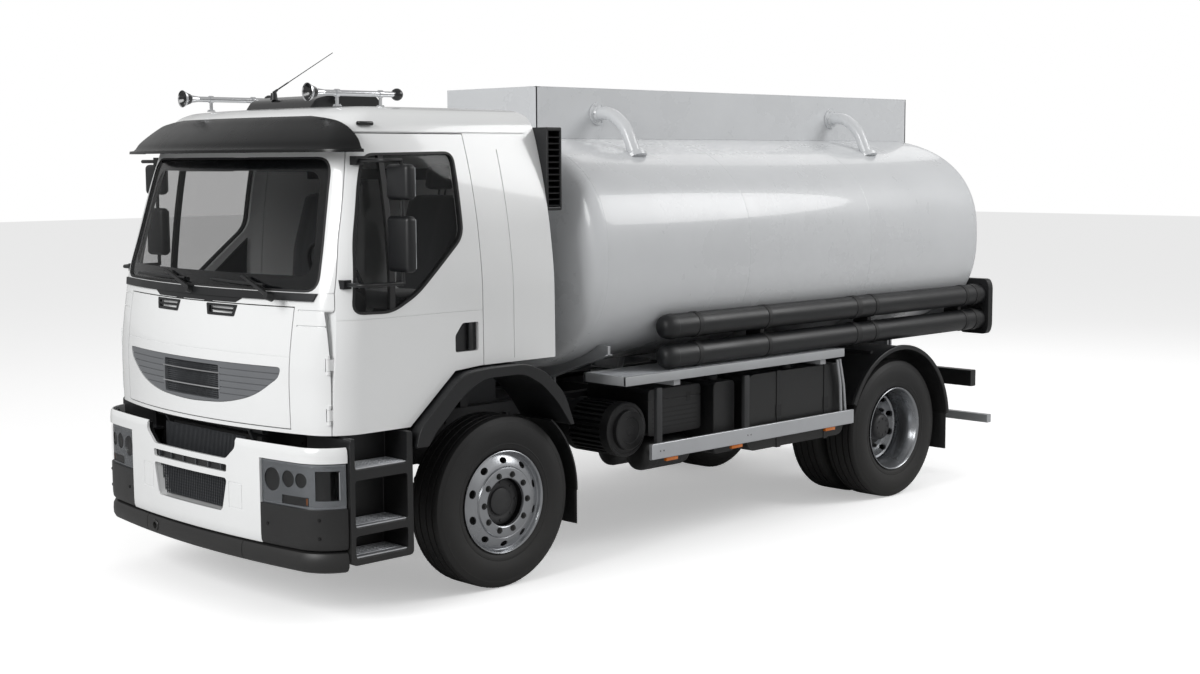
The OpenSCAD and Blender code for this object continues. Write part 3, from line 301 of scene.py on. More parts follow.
def clearSheet(name, colour, roughness, seeThrough, ior=1.5):
    # thin glazing: a tinted see-through sheet under a sharp reflection
    made = bpy.data.materials.new(name)
    made.use_nodes = True
    tree = made.node_tree
    tree.nodes.clear()
    where = addNode(tree, "ShaderNodeTexCoord").outputs["Object"]
    smear = addNode(tree, "ShaderNodeTexNoise", {"Scale": 3.0, "Detail": 4.0}, {"Vector": where})
    rough = addNode(tree, "ShaderNodeMapRange", {"To Min": roughness, "To Max": roughness + 0.03}, {"Value": smear.outputs["Fac"]})
    shader = addNode(tree, "ShaderNodeBsdfPrincipled", {"Base Color": linear(colour), "IOR": ior, "Alpha": 1 - seeThrough, "Specular IOR Level": 0.5},
                     {"Roughness": rough.outputs["Result"]})
    addNode(tree, "ShaderNodeOutputMaterial", {}, {"Surface": shader.outputs[0]})
    return made


roadDust = {"top": 1.1, "amount": 0.10, "colour": "#8f8a82"}
enamelWhite = surface("gloss_white_two_pack_enamel", "#eceded", 0.2, grain=6, bump=0.02, spread=0.05, tint=0.985, coat=0.6)  # sprayed, deep gloss
enamelTank = surface("satin_grey_tank_enamel", "#d4d6d8", 0.3, grain=5, bump=0.02, tint=0.97, coat=0.4)  # sprayed on rolled sheet
polypropylene = surface("moulded_black_polypropylene", "#131416", 0.42, grain=1.5, bump=0.25, tint=0.9, dirt=roadDust)  # fine moulded grain
glossBlack = surface("gloss_black_moulding", "#0f1011", 0.2, grain=4, bump=0.02, tint=0.92, coat=0.4)
greyMoulding = surface("moulded_grey_abs", "#6a6c6f", 0.42, grain=1.5, bump=0.15, tint=0.95)  # grille surround
powderBlack = surface("black_powder_coated_steel", "#18191a", 0.4, grain=1.2, bump=0.2, tint=0.88, dirt=roadDust)
chassisPaint = surface("dark_grey_chassis_paint", "#2e2f31", 0.5, grain=3, bump=0.2, tint=0.85, dirt=roadDust)
castIron = surface("cast_iron_engine_block", "#4a4b4d", 0.65, metallic=0.4, grain=2, bump=0.4, tint=0.85)
rimSilver = surface("silver_painted_pressed_steel", "#a6a8ab", 0.28, metallic=0.88, grain=3, bump=0.03, spread=0.04, tint=0.97)
aluminium = surface("mill_finish_aluminium_sheet", "#c9cbce", 0.38, metallic=0.75, grain=2, bump=0.08, tint=0.93)
galvanised = surface("light_grey_galvanised_steel", "#b4b6b8", 0.48, metallic=0.35, grain=8, bump=0.08, tint=0.9)
stainless = surface("brushed_stainless_steel", "#c2c4c6", 0.3, metallic=0.9, grain=1.5, bump=0.05, tint=0.95)
chrome = surface("chromed_brass_tube", "#e6e7e9", 0.08, metallic=1.0, grain=6, bump=0.0, spread=0.02, tint=0.98)
tyreRubber = surface("moulded_tyre_rubber", "#141415", 0.62, grain=2, bump=0.3, tint=0.88, dirt={"top": 1.05, "amount": 0.14, "colour": "#77736c"})
rubberTrim = surface("extruded_black_rubber_seal", "#161617", 0.6, grain=1, bump=0.15)
sheetSteel = surface("aluminised_sheet_steel", "#8d8f91", 0.42, metallic=0.8, grain=3, bump=0.1, tint=0.85)
cabinPlastic = surface("grained_grey_cabin_plastic", "#1e1f21", 0.6, grain=1.2, bump=0.3, tint=0.95)
cabinLight = surface("light_grey_cabin_lining", "#505255", 0.75, grain=1.5, bump=0.2, tint=0.95)
seatCloth = surface("woven_grey_seat_cloth", "#232427", 0.9, grain=1.6, bump=0.6, tint=0.9, **{"Sheen Weight": 0.35})
mirrorGlass = surface("silvered_mirror_glass", "#dfe3e6", 0.03, metallic=1.0, grain=20, bump=0.0, spread=0.01, tint=0.99)
lampBowl = surface("vacuum_metallised_reflector", "#d8dadd", 0.1, metallic=1.0, grain=6, bump=0.02, spread=0.03)
amberLens = surface("amber_acrylic_lens", "#d8741a", 0.2, grain=4, bump=0.2, tint=0.85, coat=0.5)
redLens = surface("red_acrylic_lens", "#9c1510", 0.2, grain=4, bump=0.2, tint=0.85, coat=0.5)
lampBezel = surface("metallised_lamp_bezel", "#8b8e92", 0.2, metallic=0.9, grain=4, bump=0.02, spread=0.04)
meshGrey = surface("moulded_dark_grey_mesh", "#484a4d", 0.5, grain=1.5, bump=0.1)
visorBlack = surface("smoked_black_acrylic", "#08090a", 0.28, grain=4, bump=0.02, **{"Specular IOR Level": 0.35})
plateWhite = surface("blank_reflective_plate_sheet", "#e9eaec", 0.35, grain=1, bump=0.1, tint=0.97)
# near black: the bumper bolts' own colour, and painted shade on the grille backing, the front drums behind the vent
# holes and the radiator core
blackAndPaintedShade = surface("black_and_painted_shade_backing", "#0b0b0c", 0.8, grain=3, bump=0.2)
screenGlass = clearSheet("tinted_laminated_glass", "#0c0e10", 0.02, 0.84)
doorGlass = clearSheet("tinted_toughened_glass", "#0a0c0d", 0.02, 0.70)
lampGlass = clearSheet("clear_polycarbonate_lens", "#101214", 0.02, 0.93)
print("materials made")

# ---------- camera, floor and light ----------
camera = {"azimuth": 135.407, "elevation": 6.011, "roll": -0.275, "lens": 50.46, "place": (6.395, 8.400, 2.497)}
lights = {"key": 800.0, "side": 450.0, "fill": 40.0, "rear": 90.0, "sky": 0.45, "floor": 0.38}


def makeCamera():
    a, e, roll = (math.radians(camera[k]) for k in ("azimuth", "elevation", "roll"))
    back = Vector((math.sin(a) * math.cos(e), -math.cos(a) * math.cos(e), math.sin(e)))
    right = Vector((0, 0, 1)).cross(back).normalized()
    up = back.cross(right)
    turned = right * math.cos(roll) + up * math.sin(roll)
    upright = up * math.cos(roll) - right * math.sin(roll)
    data = bpy.data.cameras.new("camera")
    data.lens = camera["lens"]
    data.sensor_width = 36.0
    data.clip_end = 200
    made = bpy.data.objects.new("camera", data)
    made.matrix_world = Matrix.Translation(place(*camera["place"])) @ Matrix((turned, upright, back)).transposed().to_4x4()
    scene.collection.objects.link(made)
    scene.camera = made


def makeLamp(name, position, target, size, power):
    data = bpy.data.lights.new(name, "AREA")
    data.shape = "DISK"
    data.size = size
    data.energy = power
    made = bpy.data.objects.new(name, data)
    made.location = place(*position)
    made.rotation_euler = (place(*target) - made.location).to_track_quat("-Z", "Y").to_euler()
    scene.collection.objects.link(made)


def makeStage():
    floor = newBm()
    bmesh.ops.create_grid(floor, x_segments=1, y_segments=1, size=60)
    mesh = bpy.data.meshes.new("floor")
    floor.to_mesh(mesh)
    made = bpy.data.objects.new("floor", mesh)
    scene.collection.objects.link(made)
    finish = bpy.data.materials.new("plain_pale_floor")
    finish.use_nodes = True
    tree = finish.node_tree
    tree.nodes.clear()
    matte = addNode(tree, "ShaderNodeBsdfDiffuse", {"Color": linear("#c4c4c4")})  # what the truck gets back from the floor
    pale = addNode(tree, "ShaderNodeBsdfDiffuse", {"Color": linear("#fafafa")})
    glow = addNode(tree, "ShaderNodeEmission", {"Color": (1, 1, 1, 1), "Strength": lights["floor"]})
    both = addNode(tree, "ShaderNodeAddShader", {}, {0: pale.outputs[0], 1: glow.outputs[0]})
    path = addNode(tree, "ShaderNodeLightPath")
    pick = addNode(tree, "ShaderNodeMixShader", {}, {0: path.outputs["Is Camera Ray"], 1: matte.outputs[0], 2: both.outputs[0]})
    addNode(tree, "ShaderNodeOutputMaterial", {}, {"Surface": pick.outputs[0]})
    mesh.materials.append(finish)
    world = bpy.data.worlds.new("studio")
    scene.world = world
    world.use_nodes = True
    tree = world.node_tree
    tree.nodes.clear()
    sky = addNode(tree, "ShaderNodeBackground", {"Color": (1, 1, 1, 1), "Strength": lights["sky"]})
    white = addNode(tree, "ShaderNodeBackground", {"Color": (1, 1, 1, 1), "Strength": 1.0})
    path = addNode(tree, "ShaderNodeLightPath")
    seen = addNode(tree, "ShaderNodeMath", {"operation": "MAXIMUM"}, {0: path.outputs["Is Camera Ray"], 1: path.outputs["Is Transmission Ray"]})
    pick = addNode(tree, "ShaderNodeMixShader", {}, {0: seen.outputs[0], 1: sky.outputs[0], 2: white.outputs[0]})
    addNode(tree, "ShaderNodeOutputWorld", {}, {"Surface": pick.outputs[0]})
    makeLamp("key_lamp", (10.5, 1.5, 6.5), (-1, 0, 1.2), 6, lights["key"])
    makeLamp("side_lamp", (-9, 7, 7.5), (-2.5, 0, 1.8), 6, lights["side"])
    makeLamp("fill_lamp", (-2, 11, 6), (-2, 0, 1.2), 7, lights["fill"])
    makeLamp("rear_lamp", (-11, -4, 8), (-3, 0, 1.5), 6, lights["rear"])
    scene.view_settings.view_transform = "Standard"


makeCamera()
makeStage()
print("camera and stage set")

# ---------- cab body ----------
cabLow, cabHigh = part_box("cab_shell")
half = cabHigh.y
roof = cabHigh.z
cabBack = cabLow.x - axleX
cab = {"wall": 0.05, "gap": 0.006, "glass": 0.01, "floor": 1.40, "noseArc": 3.7, "seal": 0.014}
cabForm = [  # height, foremost x, half width, corner radius, back wall
    (1.040, 1.395, half, 0.240, cabBack), (1.300, 1.400, half, 0.240, cabBack),
    (1.770, 1.345, half - 0.004, 0.230, cabBack), (2.070, 1.262, half - 0.034, 0.200, cabBack),
    (2.330, 1.190, half - 0.082, 0.180, cabBack), (2.550, 1.125, half - 0.140, 0.170, cabBack),
    (roof - 0.110, 1.075, half - 0.186, 0.160, cabBack), (roof - 0.050, 1.020, half - 0.226, 0.150, cabBack + 0.012),
    (roof - 0.014, 0.940, half - 0.290, 0.140, cabBack + 0.050), (roof, 0.830, half - 0.380, 0.130, cabBack + 0.110)]


def smoothRows(rows, parts):
    # extra rows between the given ones, without overshoot
    out = []
    count = len(rows)
    slopes = []
    for i in range(count):
        row = []
        for c in range(1, len(rows[0])):
            before = (rows[i][c] - rows[i - 1][c]) / (rows[i][0] - rows[i - 1][0]) if i else None
            after = (rows[i + 1][c] - rows[i][c]) / (rows[i + 1][0] - rows[i][0]) if i < count - 1 else None
            if before is None or after is None:
                row.append(after if before is None else before)
            else:
                row.append(0.0 if before * after <= 0 else 2 * before * after / (before + after))
        slopes.append(row)
    for i in range(count - 1):
        step = rows[i + 1][0] - rows[i][0]
        for k in range(parts):
            t = k / parts
            row = [rows[i][0] + step * t]
            for c in range(1, len(rows[0])):
                row.append((2 * t ** 3 - 3 * t ** 2 + 1) * rows[i][c] + (t ** 3 - 2 * t ** 2 + t) * step * slopes[i][c - 1]
                           + (3 * t ** 2 - 2 * t ** 3) * rows[i + 1][c] + (t ** 3 - t ** 2) * step * slopes[i + 1][c - 1])
            out.append(row)
    out.append(list(rows[-1]))
    return out


def planRing(row, inset, cornerSteps=12, noseSteps=24):
    front, wide, r, back = row[1] - inset, row[2] - inset, max(row[3] - inset, 0.03), row[4] + inset
    arc = cab["noseArc"]
    cornerY = wide - r
    noseX = front - arc
    cornerX = noseX + math.sqrt((arc - r) ** 2 - cornerY ** 2)
    meet = math.asin(cornerY / (arc - r))
    quarter = [(cornerX + r * math.cos(a), cornerY + r * math.sin(a))
               for a in (math.pi / 2 + (meet - math.pi / 2) * i / cornerSteps for i in range(cornerSteps + 1))]
    nose = [(noseX + arc * math.cos(a), arc * math.sin(a)) for a in (meet - 2 * meet * i / noseSteps for i in range(1, noseSteps))]
    far = [(x, -y) for x, y in reversed(quarter)]
    return [(back, wide)] + quarter + nose + far + [(back, -wide)]


def formSolid(form, inset, parts=5, drop=0.06):
    bm = newBm()
    rings = []
    for i, row in enumerate(smoothRows(form, parts)):
        z = row[0] - (drop if i == 0 and inset > 0 else 0) - (inset * 0.9 if row[0] > 2.6 else 0)
        rings.append([place(x, y, z) for x, y in planRing(row, inset)])
    addLoft(bm, rings)
    return bm


def cabSolid(inset):
    return formSolid(cabForm, inset)


def boxBm(low, high):
    bm = newBm()
    addBox(bm, low, high)
    return bm


def prismBm(outline, axis, low, high):
    bm = newBm()
    addPrism(bm, outline, axis, low, high)
    return bm


def rodBm(start, end, radius, segments=32):
    bm = newBm()
    addRod(bm, start, end, radius, segments=segments)
    return bm


def mirrored(bm):
    both = bm.copy()
    mirrorCopy(both)
    return both


def keep(bm, others):
    return combine(bm, others, "INTERSECT")


def skin(outer, inner):
    return combine(cabSolid(outer), [cabSolid(inner)])


doorShape = {"front": 1.190, "back": 0.178, "top": roof - 0.155, "sill": 1.337, "hinge": (1.206, half - 0.068)}
hingeReach = doorShape["hinge"][0] - doorShape["back"]
pillarEdge = [(1.184, 1.300), (1.146, 1.800), (1.088, 2.085), (0.962, 2.590)]
lowerEdge = [(1.190, 1.040), (0.714, 1.040), (0.389, 1.322), (0.200, 1.337), (0.0, 1.337)]
doorOutline = [(0.0, doorShape["top"]), (0.915, doorShape["top"])] + pillarEdge[::-1] + lowerEdge
gapAhead = cab["gap"] * 1.1
doorwayOutline = ([(0.0, doorShape["top"] + cab["gap"]), (0.915, doorShape["top"] + cab["gap"])]
                  + [(x + gapAhead, z) for x, z in pillarEdge[::-1]] + [(1.196, 1.040), (1.196, 0.900), (0.0, 0.900)])
windowOutline = rounded([(0.905, 2.540), (0.272, 2.550), (0.288, 2.070), (0.646, 1.762), (0.820, 1.675),
                         (1.085, 1.682), (1.038, 2.080), (0.961, 2.397)], 0.07)
screenOutline = rounded([(-1.005, 1.800), (1.005, 1.800), (0.905, 2.520), (-0.905, 2.520)], 0.1)
clearOutline = rounded([(-0.925, 1.885), (0.925, 1.885), (0.835, 2.445), (-0.835, 2.445)], 0.09)
flapHalf, flapLow, flapHigh = 0.850, 1.066, 1.716
smileOutline = rounded([(-0.795, 1.395), (0.795, 1.395), (0.775, 1.335), (0.60, 1.225), (0.36, 1.168), (0.0, 1.150),
                        (-0.36, 1.168), (-0.60, 1.225), (-0.775, 1.335)], [0.03, 0.03, 0.03, 0.12, 0.12, 0.12, 0.12, 0.12, 0.03])


def buildShell():
    cavity = combine(cabSolid(cab["wall"]), [boxBm((-2, -2, 0), (2, 2, cab["floor"])), boxBm((1.15, -2, 0), (2, 2, 1.78))])
    nose = keep(boxBm((1.19, -2, 0.9), (2, 2, 1.74)), [cabSolid(cab["wall"])])
    under = keep(boxBm((-2, -2, 0.9), (1.15, 2, cab["floor"] - 0.045)), [cabSolid(cab["wall"])])
    sill = prismBm([(-0.6, 0.8), (0.714, 0.8), (0.714, 1.04), (0.389, 1.322), (0.2, 1.337), (-0.6, 1.337)], "y", -1.4, 1.4)
    g = cab["gap"]
    front = boxBm((1.191, -flapHalf - g, flapLow - g), (1.6, flapHalf + g, flapHigh + g))
    screen = prismBm(grown(screenOutline, 0.001), "x", 0.8, 1.6)
    hx, hy = doorShape["hinge"]
    way = keep(prismBm(doorwayOutline, "y", 0.7, 1.3), [rodBm((hx, hy, 0.8), (hx, hy, 3.0), hingeReach + g, 128)])
    way = combine(way, [cabSolid(cab["wall"] + g)])
    pockets, pocketSlots = newBm(), newBm()
    for z in (1.15, 1.42):
        addRod(pockets, (hx, hy, z - 0.035), (hx, hy, z + 0.035), 0.017)
        addBox(pocketSlots, (hx - 0.060, hy - 0.016, z - 0.035), (hx + 0.001, hy + 0.060, z + 0.035))
    slots = combine(boxBm((1.1, 0.88, 1.618), (1.5, 1.2, 1.626)), [cabSolid(0.008)])
    slots2 = combine(boxBm((1.1, 0.88, 1.700), (1.5, 1.2, 1.708)), [cabSolid(0.008)])
    seam = combine(boxBm((0.9, 1.02, 1.797), (1.5, 1.2, 1.800)), [cabSolid(0.006)])
    crease = combine(boxBm((-0.06, 1.0, 1.36), (-0.052, 1.2, 2.56)), [cabSolid(0.004)])
    flapHinges = newBm()
    for y in (-0.15, 0.15):
        addRod(flapHinges, (1.338, y - 0.042, 1.728), (1.338, y + 0.042, 1.728), 0.017)
    jambBox = boxBm((1.0, 0.9, 1.0), (doorShape["front"] + g, 1.3, 1.7))
    jamb = keep(rodBm((hx, hy, 1.03), (hx, hy, 1.30), 0.0652, 72), [jambBox])  # what the door's inner corner sweeps
    cone = newBm()
    addRod(cone, (hx, hy, 1.30), (hx, hy, 1.70), 0.0652, 0.0902, segments=72)
    cone = keep(cone, [boxBm((1.0, 0.9, 1.0), (doorShape["front"] + g, 1.3, 1.7))])
    cutters = [mirrored(jamb), mirrored(cone), cavity, nose, under, sill, front, screen, mirrored(way), mirrored(pockets), mirrored(pocketSlots), mirrored(slots), mirrored(slots2),
               mirrored(seam), mirrored(crease), flapHinges]
    shell = combine(cabSolid(0), cutters)
    piece("cab_body", shell, enamelWhite, "cab", ["cab_shell"], sharp=28)
    under, knuckles = newBm(), newBm()
    for z in (1.15, 1.42):
        addRod(under, (hx, hy, z - 0.038), (hx, hy, z + 0.038), 0.006, segments=16)
        for low in (-0.052, 0.031):
            addRod(knuckles, (hx, hy, z + low), (hx, hy, z + low + 0.021), 0.011)
    ears = newBm()
    addPrism(ears, [(1.04, 1.399), (1.19, 1.399), (1.304, 1.02), (1.216, 1.02), (1.04, 1.295)], "y", 0.46, 0.50)
    ears = combine(ears, [rodBm((1.26, 0.455, 1.02), (1.26, 0.505, 1.02), 0.027)])
    pins = newBm()
    for y in (-0.15, 0.15):
        addRod(pins, (1.338, y - 0.05, 1.728), (1.338, y + 0.05, 1.728), 0.006, segments=16)
    both = mirrored(under)
    piece("cab_hinge_pins", both, stainless, "cab")
    piece("cab_hinge_knuckles", mirrored(knuckles), enamelWhite, "cab")
    piece("cab_flap_pins", pins, stainless, "cab")
    piece("cab_tilt_ears", mirrored(ears), powderBlack, "cab", bevel=0.004)
    # a drip rail over each door
    rail = keep(boxBm((-0.30, 1.0 - 0.15, roof - 0.143), (0.97, 1.2, roof - 0.136)), [cabSolid(-0.006)])
    rail = combine(rail, [cabSolid(0.0005)])
    piece("cab_drip_rails", mirrored(rail), enamelWhite, "cab", sharp=40)


buildShell()
print("cab shell built")


def buildDoor(side):
    sign = 1 if side == "left" else -1
    hx, hy = doorShape["hinge"]
    panel = skin(0, cab["wall"])
    panel = keep(panel, [prismBm(doorOutline, "y", 0.7, 1.3), rodBm((hx, hy, 0.8), (hx, hy, 3.0), hingeReach, 128)])
    pocket = prismBm(rounded([(0.385, 1.425), (0.212, 1.425), (0.212, 1.588), (0.330, 1.588), (0.385, 1.520)], 0.014), "y", half - 0.03, 1.3)
    swage = combine(boxBm((0.1, 1.0, 1.652), (1.3, 1.3, 1.656)), [cabSolid(0.003)])
    panel = combine(panel, [prismBm(windowOutline, "y", 0.7, 1.3), pocket, swage])
    knuckles = newBm()
    for z in (1.15, 1.42):
        addRod(knuckles, (hx, hy, z - 0.03), (hx, hy, z + 0.03), 0.011)
        addBox(knuckles, (doorShape["front"] - 0.04, hy - 0.008, z - 0.03), (hx, hy + 0.008, z + 0.03), 0.002)
    seal = keep(prismBm(windowOutline, "y", 0.7, 1.3), [skin(-0.002, 0.03)])
    seal = combine(seal, [prismBm(grown(windowOutline, -cab["seal"]), "y", 0.6, 1.4)])
    pane = keep(prismBm(grown(windowOutline, -0.004), "y", 0.7, 1.3), [skin(0.012, 0.012 + cab["glass"])])
    quarter = keep(prismBm([(0.80, 1.66), (0.835, 1.66), (0.80, 2.56), (0.765, 2.56)], "y", 0.7, 1.3), [skin(0.004, 0.03)])
    quarter = keep(quarter, [prismBm(windowOutline, "y", 0.6, 1.4)])
    liner = newBm()
    addPrism(liner, grown(rounded([(0.385, 1.425), (0.212, 1.425), (0.212, 1.588), (0.330, 1.588), (0.385, 1.520)], 0.014), -0.0005), "y", half - 0.029, half - 0.0265)
    addBox(liner, (0.252, half - 0.028, 1.428), (0.280, half - 0.007, 1.585), 0.004)
    trim = keep(skin(0.0505, 0.062), [prismBm([(0.3, 2.0), (0.30, 1.45), (0.6, 1.2), (1.10, 1.2), (1.08, 1.64), (0.8, 1.64), (0.62, 1.72)], "y", 0.7, 1.3)])
    addBox(trim, (0.45, 1.045, 1.50), (0.95, 1.09, 1.56), 0.01)
    made = [(panel, enamelWhite, "panel", ["door_" + side], 28, 0), (knuckles, enamelWhite, "knuckles", [], 32, 0), (seal, rubberTrim, "window_seal", [], 32, 0),
            (pane, doorGlass, "window", ["door_glass_" + side], 32, 0), (quarter, rubberTrim, "quarter_bar", [], 32, 0),
            (liner, polypropylene, "handle", [], 32, 0), (trim, cabinPlastic, "trim", [], 32, 0)]
    for bm, finish, name, nodes, sharp, bevel in made:
        if sign < 0:
            bmesh.ops.scale(bm, verts=bm.verts[:], vec=(1, -1, 1))
        piece("door_" + side + "_" + name, bm, finish, "door_" + side, nodes, sharp=sharp, bevel=bevel)


buildDoor("left")
buildDoor("right")
print("doors built")


def buildFront():
    flapBox = boxBm((1.15, -flapHalf, flapLow), (1.6, flapHalf, flapHigh))
    panel = keep(skin(0, 0.038), [flapBox])
    setBack = keep(boxBm((1.15, -2, flapHigh - 0.005), (1.6, 2, flapHigh + 0.01)), [cabSolid(0.006)])
    grips = combine(boxBm((1.2, -0.40, 1.66), (1.6, -0.16, 1.700)), [cabSolid(0.024)])
    addGrip = combine(boxBm((1.2, 0.16, 1.66), (1.6, 0.40, 1.700)), [cabSolid(0.024)])
    swage = combine(boxBm((1.2, -0.86, 1.452), (1.6, 0.86, 1.456)), [cabSolid(0.003)])
    panel = combine(panel, [prismBm(smileOutline, "x", 1.1, 1.7), grips, addGrip, swage, setBack])
    piece("front_flap_panel", panel, enamelWhite, "front_flap", ["front_flap"], sharp=28)
    middle = rounded([(-0.285, 1.372), (0.285, 1.372), (0.285, 1.178), (-0.285, 1.178)], 0.012)
    inner = grown(smileOutline, -0.003)
    surround = keep(skin(0.004, 0.03), [prismBm(inner, "x", 1.1, 1.7)])
    grooves = [combine(boxBm((1.1, 0.30, z), (1.7, 0.83, z + 0.005)), [cabSolid(0.009)]) for z in (1.215, 1.25, 1.285, 1.32, 1.355)]
    surround = combine(surround, [prismBm(middle, "x", 1.1, 1.7)] + [mirrored(g) for g in grooves])
    piece("grille_surround", surround, greyMoulding, "front_flap", sharp=30)
    frontX = 1.392
    mesh = newBm()
    for i in range(49):
        y = -0.284 + 0.568 * i / 48
        addBox(mesh, (frontX - 0.020 - y * y * 0.13, y - 0.0015, 1.18), (frontX - 0.016 - y * y * 0.13, y + 0.0015, 1.37))
    for i in range(17):
        z = 1.181 + 0.188 * i / 16
        addBox(mesh, (frontX - 0.026, -0.284, z - 0.0015), (frontX - 0.0225, 0.284, z + 0.0015))
    piece("grille_mesh", mesh, meshGrey, "front_flap", weld=False)
    # a near-black sheet behind the grille mesh: painted shade for the dark space behind the grille
    backing = newBm()
    addBox(backing, (frontX - 0.034, -0.30, 1.165), (frontX - 0.030, 0.30, 1.385))
    piece("grille_backing", backing, blackAndPaintedShade, "front_flap")
    strips = [keep(boxBm((1.1, -0.30, z), (1.7, 0.30, z + 0.007)), [skin(-0.001, 0.012)]) for z in (1.238, 1.325)]
    strips = combine(strips[0], [strips[1]], "UNION")
    piece("grille_strips", strips, chrome, "front_flap", bevel=0.001)
    arms = newBm()
    for y in (-0.15, 0.15):
        addRod(arms, (1.338, y - 0.036, 1.728), (1.338, y + 0.036, 1.728), 0.011)
        addBox(arms, (1.328, y - 0.036, 1.706), (1.346, y + 0.036, 1.728), 0.002)
    piece("front_flap_hinges", arms, powderBlack, "front_flap")
    bars = newBm()
    for y in (-0.28, 0.28):
        addBox(bars, (1.334, y - 0.10, 1.674), (1.348, y + 0.10, 1.686), 0.004)
    piece("front_flap_grips", bars, polypropylene, "front_flap")
    pod = keep(skin(-0.004, 0.012), [prismBm(rounded([(0.14, 1.712), (0.42, 1.712), (0.40, 1.648), (0.16, 1.648)], 0.008), "x", 1.1, 1.6)])
    pod = combine(pod, [prismBm(rounded([(0.168, 1.700), (0.392, 1.700), (0.384, 1.662), (0.176, 1.662)], 0.006), "x", 1.0, 1.7)])
    piece("front_flap_pods", mirrored(pod), polypropylene, "front_flap", sharp=30)

    glass = keep(skin(0, cab["glass"]), [prismBm(grown(screenOutline, 0.0004), "x", 0.8, 1.6)])
    piece("windscreen_glass", glass, screenGlass, "cab", ["windscreen"], sharp=30)
    band = keep(skin(0.0105, 0.014), [prismBm(grown(screenOutline, -0.001), "x", 0.8, 1.6)])
    band = combine(band, [prismBm(clearOutline, "x", 0.8, 1.6)])
    piece("windscreen_band", band, glossBlack, "cab", sharp=30)
    rubber = keep(skin(-0.0015, 0.006), [prismBm(screenOutline, "x", 0.8, 1.6)])
    rubber = combine(rubber, [prismBm(grown(screenOutline, -0.012), "x", 0.7, 1.7)])
    piece("windscreen_seal", rubber, rubberTrim, "cab", sharp=30)

    cowlBand = keep(skin(-0.014, -0.0003), [prismBm([(-1.0, 1.796), (1.0, 1.796), (0.98, 1.754), (-0.98, 1.754)], "x", 0.9, 1.6)])
    piece("cowl_band", cowlBand, polypropylene, "cab", ["cowl"], sharp=30, bevel=0.002)
    apron = keep(skin(-0.004, -0.0004), [prismBm(rounded([(-0.46, 1.754), (0.46, 1.754), (0.40, 1.726), (-0.40, 1.726)], 0.01), "x", 0.9, 1.6)])
    piece("cowl_apron", apron, polypropylene, "cab", sharp=30)
    wipers = newBm()
    for y, tipY in ((0.78, 0.12), (-0.02, -0.68)):
        addRod(wipers, (1.345, y, 1.775), (1.388, y, 1.787), 0.026, 0.020)
        addRod(wipers, (1.372, y, 1.787), (1.320, (y + tipY) / 2, 1.875), 0.013, 0.008, segments=16)
        a, b = Vector((1.330, y - 0.10, 1.835)), Vector((1.318, tipY + 0.02, 1.842))
        addPipe(wipers, [tuple(a), tuple((a + b) / 2 + Vector((0.014, 0, 0.0))), tuple(b)], 0.009, 12, 0.3)
    piece("wipers", wipers, powderBlack, "cab")


buildFront()
print("cab front built")


def buildVisor():
    visorForm = [(2.545, 1.300, half - 0.012, 0.190, 0.6), (2.561, 1.298, half - 0.013, 0.190, 0.6), (2.565, 1.274, half - 0.030, 0.185, 0.6),
                 (2.605, 1.240, half - 0.046, 0.180, 0.6), (2.655, 1.182, half - 0.080, 0.175, 0.6), (2.700, 1.120, half - 0.118, 0.170, 0.6),
                 (2.730, 1.075, half - 0.160, 0.165, 0.6), (2.745, 1.045, half - 0.190, 0.160, 0.6)]
    hollow = [(2.500, 1.288, half - 0.024, 0.180, 0.64), (2.546, 1.288, half - 0.024, 0.180, 0.64),
              (2.595, 1.220, half - 0.062, 0.170, 0.64), (2.640, 1.142, half - 0.120, 0.160, 0.64)]
    outer = formSolid(visorForm, 0, 4, 0)
    outer = combine(outer, [formSolid(hollow, 0, 4, 0), cabSolid(-0.0003), boxBm((-1, -2, 2), (0.985, 2, 3))])
    piece("visor_panel", outer, visorBlack, "cab", ["sun_visor"], sharp=28, bevel=0.003)


buildVisor()
print("visor built")

# ---------- tank ----------
barrelLow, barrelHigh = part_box("tank_barrel")
tank = {"half": barrelHigh.y, "tall": (barrelHigh.z - barrelLow.z) / 2, "z": (barrelHigh.z + barrelLow.z) / 2,
        "front": barrelHigh.x - axleX - 0.201, "back": barrelLow.x - axleX + 0.201, "power": 2.5}
headCurve = [(0, 1), (0.035, 0.996), (0.070, 0.978), (0.095, 0.945), (0.115, 0.9), (0.150, 0.76), (0.178, 0.56), (0.195, 0.33), (0.201, 0.05)]


def tankRing(x, share, count=144, extra=0.0):
    out = []
    for k in range(count):
        t = 2 * math.pi * k / count
        c, s = math.cos(t), math.sin(t)
        out.append(place(x, (tank["half"] * share + extra) * math.copysign(abs(c) ** (2 / tank["power"]), c),
                         tank["z"] + (tank["tall"] * share + extra) * math.copysign(abs(s) ** (2 / tank["power"]), s)))
    return out


def tankTop(y, share=1.0):
    return tank["z"] + tank["tall"] * share * (1 - min(abs(y) / (tank["half"] * share), 1) ** tank["power"]) ** (1 / tank["power"])


def headShare(out):
    for (a, s), (b, e) in zip(headCurve, headCurve[1:]):
        if out <= b:
            return s + (e - s) * (out - a) / (b - a)
    return headCurve[-1][1]


